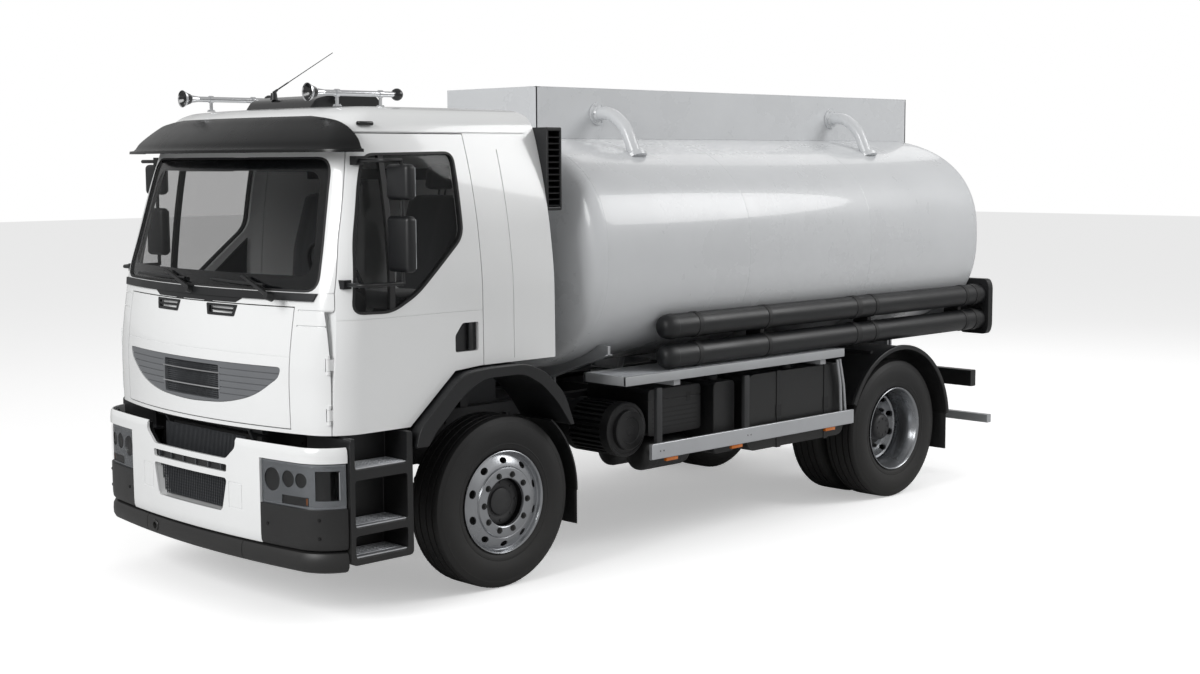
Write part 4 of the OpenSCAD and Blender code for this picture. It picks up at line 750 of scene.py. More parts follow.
def buildTank():
    body = newBm()
    dense = [headCurve[0]]
    for (a, s), (b, e) in zip(headCurve, headCurve[1:]):
        dense += [(a + (b - a) * k / 2, s + (e - s) * k / 2) for k in (1, 2)]
    stations = [(tank["front"] + out, share) for out, share in reversed(dense)]
    stations += [(tank["front"] - i * 0.07, 1.0) for i in range(1, 57)]
    stations += [(tank["back"] - out, share) for out, share in dense]
    addLoft(body, [tankRing(x, share) for x, share in stations])
    piece("tank_shell", body, enamelTank, "chassis", ["tank_barrel"], sharp=35)
    seams = newBm()
    for x in (tank["front"] - 0.004, tank["front"] - 1.33, tank["front"] - 2.66, tank["back"] + 0.004):
        addLoft(seams, [tankRing(x - 0.006, 1, extra=-0.006), tankRing(x - 0.004, 1, extra=0.0006), tankRing(x, 1, extra=0.0012),
                        tankRing(x + 0.004, 1, extra=0.0006), tankRing(x + 0.006, 1, extra=-0.006)], caps=False)
    piece("tank_weld_seams", seams, enamelTank, "chassis")


def buildCoaming():
    low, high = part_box("tank_coaming")
    x0, x1, top, wide, sheet = low.x - axleX, high.x - axleX, high.z, high.y, 0.012
    walls = newBm()
    side = [(x1, tankTop(wide) + 0.0003)]
    side += [(tank["back"] - out, tankTop(wide, headShare(out)) + 0.0003) for out in (0, 0.035, 0.07, 0.095, 0.115)]
    side += [(x0, top), (x1, top)]
    addPrism(walls, side, "y", wide - sheet, wide)
    mirrorCopy(walls)
    for xa, share in ((x1 - sheet, 1.0), (x0, headShare(0.115) + 0.035)):
        across = [(y, tankTop(y, share) + 0.0003) for y in (wide * i / 10 for i in range(-10, 11))]
        addPrism(walls, across + [(wide, top), (-wide, top)], "x", xa, xa + sheet)
    for y in (-wide, wide - 0.06):
        addBox(walls, (x0, y, top - 0.006), (x1, y + 0.06, top), 0.001)
    piece("coaming_walls", walls, enamelTank, "chassis", ["tank_coaming"], sharp=30, bevel=0.003)
    ribs = newBm()
    for i in range(1, 8):
        x = x1 + (x0 - x1) * i / 8
        for s in (-1, 1):
            y = s * (wide - sheet - 0.012)
            addBox(ribs, (x - 0.004, min(y, y + s * 0.012), tankTop(wide) + 0.02), (x + 0.004, max(y, y + s * 0.012), top - 0.008))
    for y in (-wide, wide - 0.03):
        addBox(ribs, (x0 + 0.01, y + (0.0305 if y < 0 else -0.0005), tankTop(wide) - 0.0), (x1 - 0.012, y + (0.035 if y < 0 else -0.005), tankTop(wide) + 0.025))
    piece("coaming_ribs", ribs, galvanised, "chassis")


def boltRing(bm, centre, axis, radius, count, size, depth, flip=1, turn=0.0):
    # hexagon heads round a circle, standing off a face
    along = Vector({"x": (1, 0, 0), "y": (0, 1, 0), "z": (0, 0, 1)}[axis]) * flip
    u = Vector({"x": (0, 1, 0), "y": (1, 0, 0), "z": (1, 0, 0)}[axis])
    v = Vector({"x": (0, 0, 1), "y": (0, 0, 1), "z": (0, 1, 0)}[axis])
    for k in range(count):
        a = 2 * math.pi * k / count + turn
        c = Vector(centre) + (u * math.cos(a) + v * math.sin(a)) * radius
        addRod(bm, tuple(c - along * 0.002), tuple(c + along * depth), size, segments=6)


def buildManholes():
    low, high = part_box("manhole_collars")
    for name, tag in (("manhole_lid_front", "front"), ("manhole_lid_rear", "rear")):
        lidLow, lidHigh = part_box(name)
        r = (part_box("manhole_collars")[1].y) - 0.03
        x = lidHigh.x - axleX - r - 0.07
        top = lidLow.z + 0.0137
        lid = newBm()
        addSpin(lid, [(0.0, 0.0003), (r + 0.028, 0.0003), (r + 0.028, 0.016), (r + 0.022, 0.022), (r - 0.02, 0.022), (r - 0.03, 0.018),
                      (0.10, 0.020), (0.072, 0.022), (0.070, 0.040), (0.062, 0.046), (0.0, 0.046)], (x, 0, top), "z", closed=False)
        addBox(lid, (x - r - 0.056, -0.038, top + 0.0003), (x - r, 0.038, top + 0.022), 0.003)
        addBox(lid, (x + r + 0.02, -0.02, top + 0.0003), (x + r + 0.07, 0.02, top + 0.014), 0.003)
        addRod(lid, (x - r - 0.055, -0.0417, top + 0.008), (x - r - 0.055, 0.0417, top + 0.008), 0.022)
        addPipe(lid, [(x + 0.12, -0.07, top + 0.02), (x + 0.12, -0.07, top + 0.042), (x + 0.12, 0.07, top + 0.042), (x + 0.12, 0.07, top + 0.02)], 0.005, 10, 0.02)
        piece(name + "_plate", lid, stainless, name, [name], sharp=35)
        pin = newBm()
        addRod(pin, (x - r - 0.055, -0.059, top + 0.008), (x - r - 0.055, 0.059, top + 0.008), 0.0077)
        piece(name + "_pin", pin, stainless, name)
        clamps = newBm()
        for k in range(6):
            a = math.pi / 6 + k * math.pi / 3
            c = Vector((x + (r + 0.006) * math.cos(a), (r + 0.006) * math.sin(a), top))
            addRod(clamps, tuple(c + Vector((0, 0, 0.018))), tuple(c + Vector((0, 0, 0.032))), 0.012, segments=6)
            addRod(clamps, tuple(c + Vector((0, 0, 0.03))), tuple(c + Vector((0, 0, 0.042))), 0.006, segments=12)
        piece(name + "_clamps", clamps, stainless, name, weld=False)
        collar = newBm()
        base = tankTop(r) - 0.0
        addSpin(collar, [(r - 0.012, -0.115), (r, -0.115), (r, -0.016), (r + 0.004, -0.014), (r + 0.03, -0.014), (r + 0.03, -0.001), (r + 0.029, 0.0),
                         (r - 0.011, 0.0), (r - 0.012, -0.001)], (x, 0, top), "z")
        addBox(collar, (x - r - 0.075, -0.06, top - 0.06), (x - r - 0.005, 0.06, top - 0.02), 0.003)
        for y in (-0.06, 0.042):
            addRod(collar, (x - r - 0.055, y, top + 0.008), (x - r - 0.055, y + 0.018, top + 0.008), 0.022)
            addBox(collar, (x - r - 0.077, y, top - 0.06), (x - r - 0.033, y + 0.018, top + 0.008))
        piece("collar_" + tag, collar, stainless, "chassis", ["manhole_collars"], sharp=35)


def buildPipes():
    z, half0, bend0, bend1, drop, turn = 2.80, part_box("tank_coaming")[1].y, 0.13, 0.26, 0.09, math.radians(65)
    runs, flanges = newBm(), newBm()
    for x in (-1.44, -3.93):
        down = Vector((0, math.cos(turn), -math.sin(turn)))
        elbow = Vector((x, half0 + bend1, z - drop))
        addPipe(runs, [(x, half0 + 0.0005, z), (x, half0 + bend0, z), tuple(elbow), tuple(elbow + down * 0.21)], 0.042, 24, 0.09)
        addRod(flanges, (x, half0 + 0.0005, z), (x, half0 + 0.014, z), 0.074, segments=40)
        addRod(flanges, (x, half0 + 0.013, z), (x, half0 + 0.028, z), 0.052, 0.044, segments=40)
        boltRing(flanges, (x, half0 + 0.014, z), "y", 0.060, 6, 0.007, 0.006)
        foot = elbow + down * 0.20
        addRod(flanges, tuple(foot), tuple(foot + down * 0.022), 0.074, segments=40)
        addRod(flanges, tuple(foot - down * 0.02), tuple(foot), 0.044, 0.050, segments=40)
    for bm, name, finish in ((runs, "overflow_pipes", enamelTank), (flanges, "overflow_flanges", enamelTank)):
        mirrorCopy(bm)
        piece(name, bm, finish, "chassis", ["tank_pipes"], sharp=35)
    low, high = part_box("tank_pipes")
    x0 = low.x - axleX
    rear = newBm()
    zo, r = 1.06, 0.05
    addSpin(rear, [(0.036, 0.0), (r, 0.0), (r, 0.052), (r + 0.012, 0.060), (r + 0.018, 0.066), (r + 0.018, 0.150), (r + 0.03, 0.150), (r + 0.032, 0.152),
                   (r + 0.032, 0.168), (r + 0.02, 0.170), (r - 0.004, 0.175), (r - 0.004, 0.42), (0.036, 0.42)], (x0, 0, zo), "x", steps=48)
    addPipe(rear, [(x0 + 0.38, 0, zo), (x0 + 0.52, 0, zo), (x0 + 0.52, 0, 1.16)], 0.046, 24, 0.08)
    addRod(rear, (x0 + 0.26, 0, zo - 0.062), (x0 + 0.26, 0, zo + 0.062), 0.058, segments=24)
    addPipe(rear, [(x0 + 0.26, 0, zo + 0.06), (x0 + 0.26, 0, zo + 0.085), (x0 + 0.26, 0.12, zo + 0.085)], 0.008, 10, 0.02)
    boltRing(rear, (x0 + 0.150, 0, zo), "x", 0.070, 8, 0.007, 0.006, flip=-1)
    piece("discharge_pipe", rear, stainless, "chassis", sharp=35)


def buildCradles():
    low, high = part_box("tank_cradles")
    frameTop = low.z
    plates, flangesBm = newBm(), newBm()
    section = [(math.copysign(abs(math.cos(t)) ** (2 / tank["power"]), math.cos(t)) * (tank["half"] + 0.002),
                tank["z"] + math.copysign(abs(math.sin(t)) ** (2 / tank["power"]), math.sin(t)) * (tank["tall"] + 0.002))
               for t in (2 * math.pi * k / 96 for k in range(96))]
    for x in (-0.97, -2.3, -3.5, tank["back"] + 0.13):
        web = prismBm([(-0.49, frameTop), (0.49, frameTop), (0.49, 1.1), (1.01, 1.28), (1.01, 1.34), (-1.01, 1.34), (-1.01, 1.28), (-0.49, 1.1)], "x", x - 0.012, x + 0.012)
        web = combine(web, [prismBm(section, "x", -6, 0), prismBm([(-0.24, 0.9), (0.24, 0.9), (0.18, 1.08), (-0.18, 1.08)], "x", x - 0.04, x + 0.04)])
        edge = prismBm([(-0.49, frameTop), (0.49, frameTop), (0.49, 1.1), (1.01, 1.28), (1.01, 1.34), (-1.01, 1.34), (-1.01, 1.28), (-0.49, 1.1)], "x", x - 0.03, x + 0.03)
        edge = combine(edge, [prismBm(section, "x", -6, 0), prismBm([(-0.24, 0.9), (0.24, 0.9), (0.18, 1.08), (-0.18, 1.08)], "x", x - 0.04, x + 0.04),
                              prismBm([(-0.48, frameTop + 0.012), (-0.26, frameTop + 0.012), (-0.19, 1.09), (0.19, 1.09), (0.26, frameTop + 0.012),
                                       (0.48, frameTop + 0.012), (0.48, 1.107), (1.2, 1.352), (1.2, 2.0), (-1.2, 2.0), (-1.2, 1.352), (-0.48, 1.107)], "x", x - 0.04, x + 0.04)])
        for made, name in ((web, "cradle_web"), (edge, "cradle_flange")):
            piece(name + str(round(-x * 10)), made, galvanised, "chassis", ["tank_cradles"], bevel=0.002)


buildTank()
buildCoaming()
buildManholes()
buildPipes()
buildCradles()
print("tank built")


# ---------- wheels ----------
def buildTyre(name, body, nodes, planes, side):
    # planes are the centre planes of the tyres, counted out from the truck's centreline
    made = newBm()
    r, w = tyreR, 0.145
    tread = []
    for groove in (-0.082, -0.03, 0.03, 0.082):
        tread += [(groove - 0.006, 0), (groove - 0.004, 0.011), (groove + 0.004, 0.011), (groove + 0.006, 0)]
    profile = [(0.300, -0.112), (0.296, -0.095), (0.296, 0.095), (0.300, 0.112), (0.322, 0.128), (0.340, 0.130), (0.3415, 0.1325), (0.346, 0.1325),
               (0.348, 0.132), (0.38, w - 0.002), (0.41, w), (0.44, w - 0.002), (0.468, w - 0.012), (0.4695, w - 0.0115), (0.474, w - 0.014),
               (r - 0.022, w - 0.020), (r - 0.010, w - 0.026), (r - 0.002, w - 0.040)]
    profile += [(r - d if d else r - 0.0004 * abs(h / 0.1) ** 2, h) for h, d in reversed(tread)]
    profile += [(r - 0.002, -w + 0.040), (r - 0.010, -w + 0.026), (r - 0.022, -w + 0.020), (0.474, -w + 0.014), (0.4695, -w + 0.0115), (0.468, -w + 0.012),
                (0.44, -w + 0.002), (0.41, -w), (0.38, -w + 0.002), (0.348, -0.132), (0.346, -0.1325), (0.3415, -0.1325), (0.340, -0.130), (0.322, -0.128)]
    x = axleX if "front" in name else rearX
    for plane in planes:
        addSpin(made, profile, (x - axleX, side * plane, tyreR), "y", steps=96)
    sipes = newBm()
    for plane in planes:
        for k in range(72):
            a = 2 * math.pi * k / 72
            for s in (-1, 1):
                h = side * plane + s * 0.099
                turned = Matrix.Translation(place(x - axleX, h, tyreR)) @ Matrix.Rotation(a + s * 0.02, 4, "Y") @ Matrix.Translation((0, 0, tyreR - 0.007))
                cube = bmesh.ops.create_cube(sipes, size=1.0, matrix=turned @ Matrix.Diagonal((0.005, 0.015, 0.012, 1)))
    piece(name + "_casing", made, tyreRubber, body, nodes, sharp=30)
    return sipes


def blackGroove(name, sipes, body):
    piece(name, sipes, rubberTrim, body, weld=False)


def buildFrontRim(side):
    sign = 1 if side == "left" else -1
    body, node = "wheel_front_" + side, "rim_front_" + side
    low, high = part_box(node)
    plane = 0.985
    rim = newBm()
    tyreSide = [(0.302, -0.118), (0.294, -0.098), (0.280, -0.075), (0.274, 0.0), (0.276, 0.050), (0.284, 0.070), (0.294, 0.100), (0.299, 0.113),
                (0.304, 0.123), (0.304, 0.129)]
    face = [(0.300, 0.131), (0.295, 0.127), (0.289, 0.114), (0.285, 0.104), (0.281, 0.100), (0.272, 0.104), (0.255, 0.114), (0.235, 0.124),
            (0.220, 0.129), (0.213, 0.131), (0.209, 0.129), (0.207, 0.132), (0.204, 0.138), (0.200, 0.140), (0.148, 0.140), (0.143, 0.137), (0.140, 0.128)]
    back = [(0.140, 0.122), (0.200, 0.126), (0.212, 0.119), (0.235, 0.112), (0.255, 0.100), (0.268, 0.088), (0.270, 0.060), (0.266, 0.0),
            (0.268, -0.080), (0.284, -0.100), (0.290, -0.112), (0.300, -0.124)]
    profile = face + back + tyreSide
    addSpin(rim, [(r, sign * h) for r, h in profile], (0, sign * plane, tyreR), "y", steps=96)
    holes = newBm()
    for k in range(10):
        a = 2 * math.pi * (k + 0.5) / 10
        turn = Matrix.Translation(place(0, sign * (plane + 0.10), tyreR)) @ Matrix.Rotation(a, 4, "Y") @ Matrix.Translation((0.247, 0, 0))
        bmesh.ops.create_cone(holes, cap_ends=True, segments=28, radius1=1, radius2=1, depth=0.08,
                              matrix=turn @ Matrix.Diagonal((0.0175, 1, 0.026, 1)) @ Matrix.Rotation(math.pi / 2, 4, "X"))
    rim = combine(rim, [holes])
    piece("rim_front_" + side + "_disc", rim, rimSilver, body, [node], sharp=30, bevel=0.0015)
    nuts = newBm()
    c = (0, sign * (plane + 0.139), tyreR)
    boltRing(nuts, c, "y", 0.1675, 10, 0.0145, 0.012, flip=sign)
    for k in range(10):
        a = 2 * math.pi * k / 10
        p = Vector(c) + Vector((math.cos(a), 0, math.sin(a))) * 0.1675
        addRod(nuts, tuple(p + Vector((0, sign * 0.011, 0))), tuple(p + Vector((0, sign * 0.018, 0))), 0.009, 0.008, segments=16)
        addRod(nuts, tuple(p), tuple(p + Vector((0, sign * 0.003, 0))), 0.0195, 0.019, segments=24)
    piece("rim_front_" + side + "_nuts", nuts, powderBlack, body, weld=False)
    # a near-black disc behind the rim: painted shade seen through the vent holes
    drum = newBm()
    addSpin(drum, [(0.05, sign * 0.050), (0.255, sign * 0.050), (0.262, sign * 0.040), (0.262, sign * 0.030), (0.05, sign * 0.030)], (0, sign * plane, tyreR), "y")
    piece("rim_front_" + side + "_drum", drum, blackAndPaintedShade, body, sharp=35)
    hub = newBm()
    addSpin(hub, [(0.0, sign * 0.100), (0.070, sign * 0.100), (0.078, sign * 0.096), (0.082, sign * 0.085), (0.092, sign * 0.085), (0.098, sign * 0.088),
                  (0.128, sign * 0.088), (0.139, sign * 0.084), (0.139, sign * 0.06), (0.0, sign * 0.06)], (0, sign * plane, tyreR), "y", closed=False)
    boltRing(hub, (0, sign * (plane + 0.088), tyreR), "y", 0.113, 8, 0.008, 0.007, flip=sign)
    piece("rim_front_" + side + "_hub", hub, chassisPaint, body, sharp=35)


def buildRearRims(side):
    sign = 1 if side == "left" else -1
    body, node = "wheel_rear_" + side, "rims_rear_" + side
    outer = 1.035
    x = rearX - axleX
    rim = newBm()
    for plane in (outer, outer - 0.33):
        profile = [(0.300, 0.131), (0.295, 0.127), (0.289, 0.114), (0.284, 0.098), (0.268, 0.072), (0.263, 0.020), (0.2625, -0.070), (0.268, -0.084),
                   (0.284, -0.100), (0.290, -0.114), (0.298, -0.128), (0.303, -0.126), (0.302, -0.118), (0.292, -0.098), (0.276, -0.075), (0.270, 0.0),
                   (0.272, 0.060), (0.284, 0.080), (0.294, 0.100), (0.299, 0.113), (0.304, 0.123), (0.304, 0.129)]
        addSpin(rim, [(r, sign * h) for r, h in profile], (x, sign * plane, tyreR), "y", steps=80)
    disc = newBm()
    addSpin(disc, [(r, sign * h) for r, h in [(0.262, -0.070), (0.257, -0.060), (0.246, -0.052), (0.232, -0.058), (0.212, -0.092), (0.200, -0.104), (0.190, -0.106),
                                              (0.142, -0.106), (0.142, -0.118), (0.196, -0.118), (0.220, -0.104), (0.240, -0.068), (0.252, -0.072)]],
            (x, sign * outer, tyreR), "y", steps=80)
    addSpin(disc, [(r, sign * h) for r, h in [(0.262, -0.245), (0.256, -0.255), (0.230, -0.250), (0.200, -0.207), (0.190, -0.205), (0.142, -0.205), (0.142, -0.1785),
                                              (0.196, -0.1785), (0.222, -0.195), (0.250, -0.235)]], (x, sign * outer, tyreR), "y", steps=80)
    holes = newBm()
    for k in range(10):
        a = 2 * math.pi * (k + 0.5) / 10
        turn = Matrix.Translation(place(x, sign * (outer - 0.10), tyreR)) @ Matrix.Rotation(a, 4, "Y") @ Matrix.Translation((0.222, 0, 0))
        bmesh.ops.create_cone(holes, cap_ends=True, segments=28, radius1=1, radius2=1, depth=0.5,
                              matrix=turn @ Matrix.Diagonal((0.015, 1, 0.024, 1)) @ Matrix.Rotation(math.pi / 2, 4, "X"))
    disc = combine(disc, [holes])
    piece("rims_rear_" + side + "_barrels", rim, rimSilver, body, [node], sharp=30)
    piece("rims_rear_" + side + "_discs", disc, rimSilver, body, sharp=30)
    nuts = newBm()
    c = (x, sign * (outer - 0.108), tyreR)
    boltRing(nuts, c, "y", 0.1675, 10, 0.0155, 0.026, flip=sign)
    for k in range(10):
        a = 2 * math.pi * k / 10
        p = Vector(c) + Vector((math.cos(a), 0, math.sin(a))) * 0.1675
        addRod(nuts, tuple(p + Vector((0, sign * 0.02, 0))), tuple(p + Vector((0, sign * 0.036, 0))), 0.010, 0.009, segments=16)
    piece("rims_rear_" + side + "_nuts", nuts, powderBlack, body, weld=False)
    hub = newBm()
    addSpin(hub, [(r, sign * h) for r, h in [(0.0, 0.020), (0.070, 0.020), (0.086, 0.014), (0.096, 0.0), (0.100, -0.02), (0.104, -0.06), (0.112, -0.072),
                                             (0.139, -0.076), (0.139, -0.22), (0.0, -0.22)]], (x, sign * outer, tyreR), "y", closed=False)
    boltRing(hub, (x, sign * (outer + 0.016), tyreR), "y", 0.060, 8, 0.008, 0.008, flip=sign)
    piece("rims_rear_" + side + "_hub", hub, chassisPaint, body, sharp=35)


for side, sign in (("left", 1), ("right", -1)):
    grooves = buildTyre("tyre_front_" + side, "wheel_front_" + side, ["tyre_front_" + side], [0.985], sign)
    blackGroove("tyre_front_" + side + "_sipes", grooves, "wheel_front_" + side)
    grooves = buildTyre("tyres_rear_" + side, "wheel_rear_" + side, ["tyres_rear_" + side], [1.035, 0.705], sign)
    blackGroove("tyres_rear_" + side + "_sipes", grooves, "wheel_rear_" + side)
    buildFrontRim(side)
    buildRearRims(side)
print("wheels built")

# ---------- bumper, lamps and steps ----------
bumperLow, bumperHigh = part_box("bumper")
bumper = {"half": bumperHigh.y, "front": bumperHigh.x - axleX, "back": 1.165, "arc": 6.6, "round": 0.25}


def bumperRing(inset, steps=14):
    # plan outline from the left rear end round the nose to the right rear end
    arc, wide, r = bumper["arc"], bumper["half"] - inset, bumper["round"] - inset
    noseX = bumper["front"] - bumper["arc"]
    reach = arc - inset - r
    cornerX = noseX + math.sqrt(reach ** 2 - (wide - r) ** 2)
    meet = math.asin((wide - r) / reach)
    quarter = [(cornerX + r * math.cos(a), wide - r + r * math.sin(a)) for a in (math.pi / 2 + (meet - math.pi / 2) * i / steps for i in range(steps + 1))]
    nose = [(noseX + (arc - inset) * math.cos(a), (arc - inset) * math.sin(a)) for a in (meet - 2 * meet * i / 30 for i in range(1, 30))]
    return [(bumper["back"], wide)] + quarter + nose + [(x, -y) for x, y in reversed(quarter)] + [(bumper["back"], -wide)]


def bumperSolid(sections):
    # sections are (height, inset)
    bm = newBm()
    addLoft(bm, [[place(x, y, z) for x, y in bumperRing(inset)] for z, inset in sections])
    return bm


def buildBumper():
    low, high = bumperLow.z, bumperHigh.z
    outer = bumperSolid([(low, 0.010), (low + 0.02, 0.002), (low + 0.06, 0.0), (0.70, 0.0), (high - 0.05, 0.0), (high - 0.015, 0.003), (high, 0.012)])
    white = combine(outer, [bumperSolid([(low - 0.05, 0.018), (high + 0.05, 0.018)]), boxBm((0, -2, 0), (bumper["back"] + 0.001, 2, 2))])
    lampTop = 0.901
    sides = mirrored(boxBm((0, 0.682, 0), (2, 2, lampTop)))
    upper = rounded([(-0.38, 0.86), (0.38, 0.86), (0.47, 0.93), (0.47, 1.1), (-0.47, 1.1), (-0.47, 0.93)], 0.02)
    slot = rounded([(-0.39, 0.827), (0.39, 0.827), (0.385, 0.785), (-0.385, 0.785)], 0.012)
    mouth = rounded([(-0.39, 0.75), (0.39, 0.75), (0.34, 0.56), (-0.34, 0.56)], 0.03)
    covers = combine(boxBm((1.1, 0.405, 0.590), (1.6, 0.525, 0.735)), [bumperSolid([(0.5, 0.004), (0.9, 0.004)]), boxBm((1.0, 0.410, 0.595), (1.7, 0.520, 0.730))])
    white = combine(white, [sides, mirrored(covers)] + [prismBm(shape, "x", 1.1, 1.6) for shape in (upper, slot, mouth)])
    piece("bumper_skin", white, enamelWhite, "chassis", ["bumper"], sharp=30, bevel=0.003)
    liner = combine(bumperSolid([(0.50, 0.020), (0.97, 0.020)]), [bumperSolid([(0.4, 0.045), (1.1, 0.045)]), boxBm((0, -2, 0), (1.24, 2, 2))])
    liner = combine(liner, [prismBm(grown(shape, 0.009), "x", 1.1, 1.6) for shape in (upper, mouth)])
    returns = combine(prismBm(grown(mouth, 0.008), "x", 1.2, 1.6), [prismBm(mouth, "x", 1.1, 1.7)])
    returns = combine(keep(returns, [bumperSolid([(0.4, 0.012), (1.1, 0.012)])]), [bumperSolid([(0.3, 0.075), (1.2, 0.075)])])
    piece("bumper_mouth_returns", returns, enamelWhite, "chassis", sharp=30)
    piece("bumper_liner", liner, polypropylene, "chassis", ["bumper_trim"], sharp=30)
    vents = newBm()
    for i in range(6):
        y = -0.33 + 0.132 * i
        addBox(vents, (bumper["front"] - 0.032, y - 0.004, 0.789), (bumper["front"] - 0.012, y + 0.004, 0.824))
    for i in range(41):
        y = -0.384 + 0.768 * i / 40
        addBox(vents, (bumper["front"] - 0.060, y - 0.0018, 0.565), (bumper["front"] - 0.054, y + 0.0018, 0.745))
    for i in range(11):
        z = 0.575 + 0.165 * i / 10
        addBox(vents, (bumper["front"] - 0.066, -0.384, z - 0.0018), (bumper["front"] - 0.0605, 0.384, z + 0.0018))
    piece("bumper_lower_mesh", vents, meshGrey, "chassis", weld=False)
    radiator = newBm()
    for i in range(61):
        y = -0.42 + 0.84 * i / 60
        addBox(radiator, (1.302, y - 0.0018, 0.76), (1.308, y + 0.0018, 0.975))
    for i in range(14):
        z = 0.765 + 0.205 * i / 13
        addBox(radiator, (1.296, -0.42, z - 0.0018), (1.3015, 0.42, z + 0.0018))
    piece("radiator_mesh", radiator, meshGrey, "chassis", weld=False)
    # the radiator core, near black: partly its own dark colour, partly painted shade behind the radiator and bumper
    # meshes
    core = newBm()
    addBox(core, (1.20, -0.50, 0.50), (1.25, 0.50, 0.975), 0.006)
    for i in range(12):
        addBox(core, (1.249, -0.40, 0.575 + i * 0.033), (1.262, 0.40, 0.583 + i * 0.033))
    piece("radiator_core", core, blackAndPaintedShade, "chassis")
    beam = newBm()
    addBox(beam, (1.12, 0.64, 0.56), (1.325, 0.70, 0.62), 0.004)
    addBox(beam, (1.12, 0.64, 0.33), (1.35, 0.66, 0.62), 0.003)
    addBox(beam, (1.10, 0.64, 0.56), (1.165, 0.70, 0.7245), 0.004)
    piece("bumper_carriers", mirrored(beam), chassisPaint, "chassis")
    # black corner mouldings under the lamps
    corner = combine(bumperSolid([(0.430, 0.012), (0.445, 0.003), (0.48, 0.0), (0.6547, 0.0)]), [bumperSolid([(0.40, 0.020), (0.70, 0.020)]),
                     boxBm((0, -2, 0), (bumper["back"] + 0.001, 2, 2)), boxBm((0, -0.6823, 0), (2, 0.6823, 2))])
    piece("bumper_corners", corner, polypropylene, "chassis", sharp=30, bevel=0.003)
    bolts = newBm()
    for y, z in ((0.74, 0.545), (1.10, 0.60), (1.10, 0.50)):
        ring = [p for p in bumperRing(0.0) if abs(p[1] - y) < 0.08]
        x = max(ring, key=lambda p: -abs(p[1] - y))[0]
        addRod(bolts, (x - 0.01, y, z), (x + 0.0015, y, z), 0.009, segments=20)
    piece("bumper_bolts", mirrored(bolts), blackAndPaintedShade, "chassis")
    # lower bar in three lengths
    bar = bumperSolid([(0.305, 0.030), (0.315, 0.012), (0.335, 0.002), (0.365, 0.0), (0.395, 0.002), (0.414, 0.012), (0.424, 0.030)])
    bar = combine(bar, [bumperSolid([(0.25, 0.072), (0.45, 0.072)]), boxBm((0, -2, 0), (bumper["back"] + 0.001, 2, 2)),
                        mirrored(boxBm((1.0, 0.508, 0.2), (1.6, 0.512, 0.6))), rodBm((1.1, -0.4, 0.365), (1.6, -0.4, 0.365), 0.030)])
    piece("bumper_lower_bar", bar, polypropylene, "chassis", sharp=30, bevel=0.002)
    socket = newBm()
    addSpin(socket, [(0.020, -0.118), (0.034, -0.118), (0.034, -0.002), (0.032, 0.0), (0.021, 0.0), (0.020, -0.002)], (1.418, -0.4, 0.365), "x", steps=40)
    piece("tow_socket", socket, powderBlack, "chassis")


def buildHeadlamps():
    low, high = 0.655, 0.895
    body = combine(bumperSolid([(low, 0.010), (low + 0.012, 0.004), (low + 0.03, 0.001), (high - 0.03, 0.001), (high - 0.012, 0.004), (high, 0.012)]),
                   [bumperSolid([(low - 0.1, 0.006), (high + 0.1, 0.006)]), boxBm((0, -2, 0), (bumper["back"] + 0.002, 2, 2)), boxBm((0, -0.6823, 0), (2, 0.6823, 2))])
    piece("headlamp_covers", body, lampGlass, "chassis", ["headlights"], sharp=30)
    shellBm = combine(bumperSolid([(low, 0.014), (high, 0.014)]), [bumperSolid([(low + 0.012, 0.15), (high - 0.012, 0.15)]),
                      boxBm((0, -2, 0), (bumper["back"] + 0.003, 2, 2)), boxBm((0, -0.6833, 0), (2, 0.6833, 2))])
    cups = newBm()
    for y, z, r in ((0.770, 0.79, 0.064), (0.895, 0.805, 0.046), (0.990, 0.805, 0.040)):
        addRod(cups, (1.20, y, z), (1.45, y, z), r, segments=40)
    lower = boxBm((1.25, 0.845, 0.668), (1.45, 1.04, 0.716))
    sidePocket = boxBm((1.20, 1.045, 0.70), (1.30, 1.20, 0.86))
    shellBm = combine(shellBm, [mirrored(cups), mirrored(lower), mirrored(sidePocket)])
    piece("headlamp_bezels", shellBm, lampBezel, "chassis", sharp=30, bevel=0.002)
    bowls, lenses, ambers = newBm(), newBm(), newBm()
    for y, z, r, x in ((0.770, 0.79, 0.062, 1.372), (0.895, 0.805, 0.044, 1.352), (0.990, 0.805, 0.038, 1.325)):
        addSpin(bowls, [(0.0, -0.075), (r * 0.4, -0.070), (r * 0.75, -0.050), (r * 0.95, -0.012), (r, 0.0), (r + 0.0015, 0.0), (r + 0.0015, -0.08), (0.0, -0.08)],
                (x - 0.012, y, z), "x", steps=40, closed=False)
        addSpin(lenses, [(0.0, 0.0), (0.014, -0.002), (0.024, -0.012), (0.026, -0.03), (0.0, -0.03)], (x - 0.030, y, z), "x", steps=32, closed=False)
    addBox(bowls, (1.262, 0.850, 0.672), (1.268, 1.035, 0.712))
    addBox(bowls, (1.205, 1.05, 0.705), (1.210, 1.165, 0.855))
    for i in range(6):
        y = 0.850 + i * 0.030
        front = max(p[0] for p in bumperRing(0.014) if p[1] > y + 0.010)
        addBox(ambers, (front - 0.060, y, 0.672), (front - 0.006, y + 0.026, 0.712), 0.003)
    for bm, name, finish in ((bowls, "bowls", lampBowl), (lenses, "projectors", mirrorGlass), (ambers, "indicators", amberLens)):
        piece("headlamp_" + name, mirrored(bm), finish, "chassis", sharp=35)


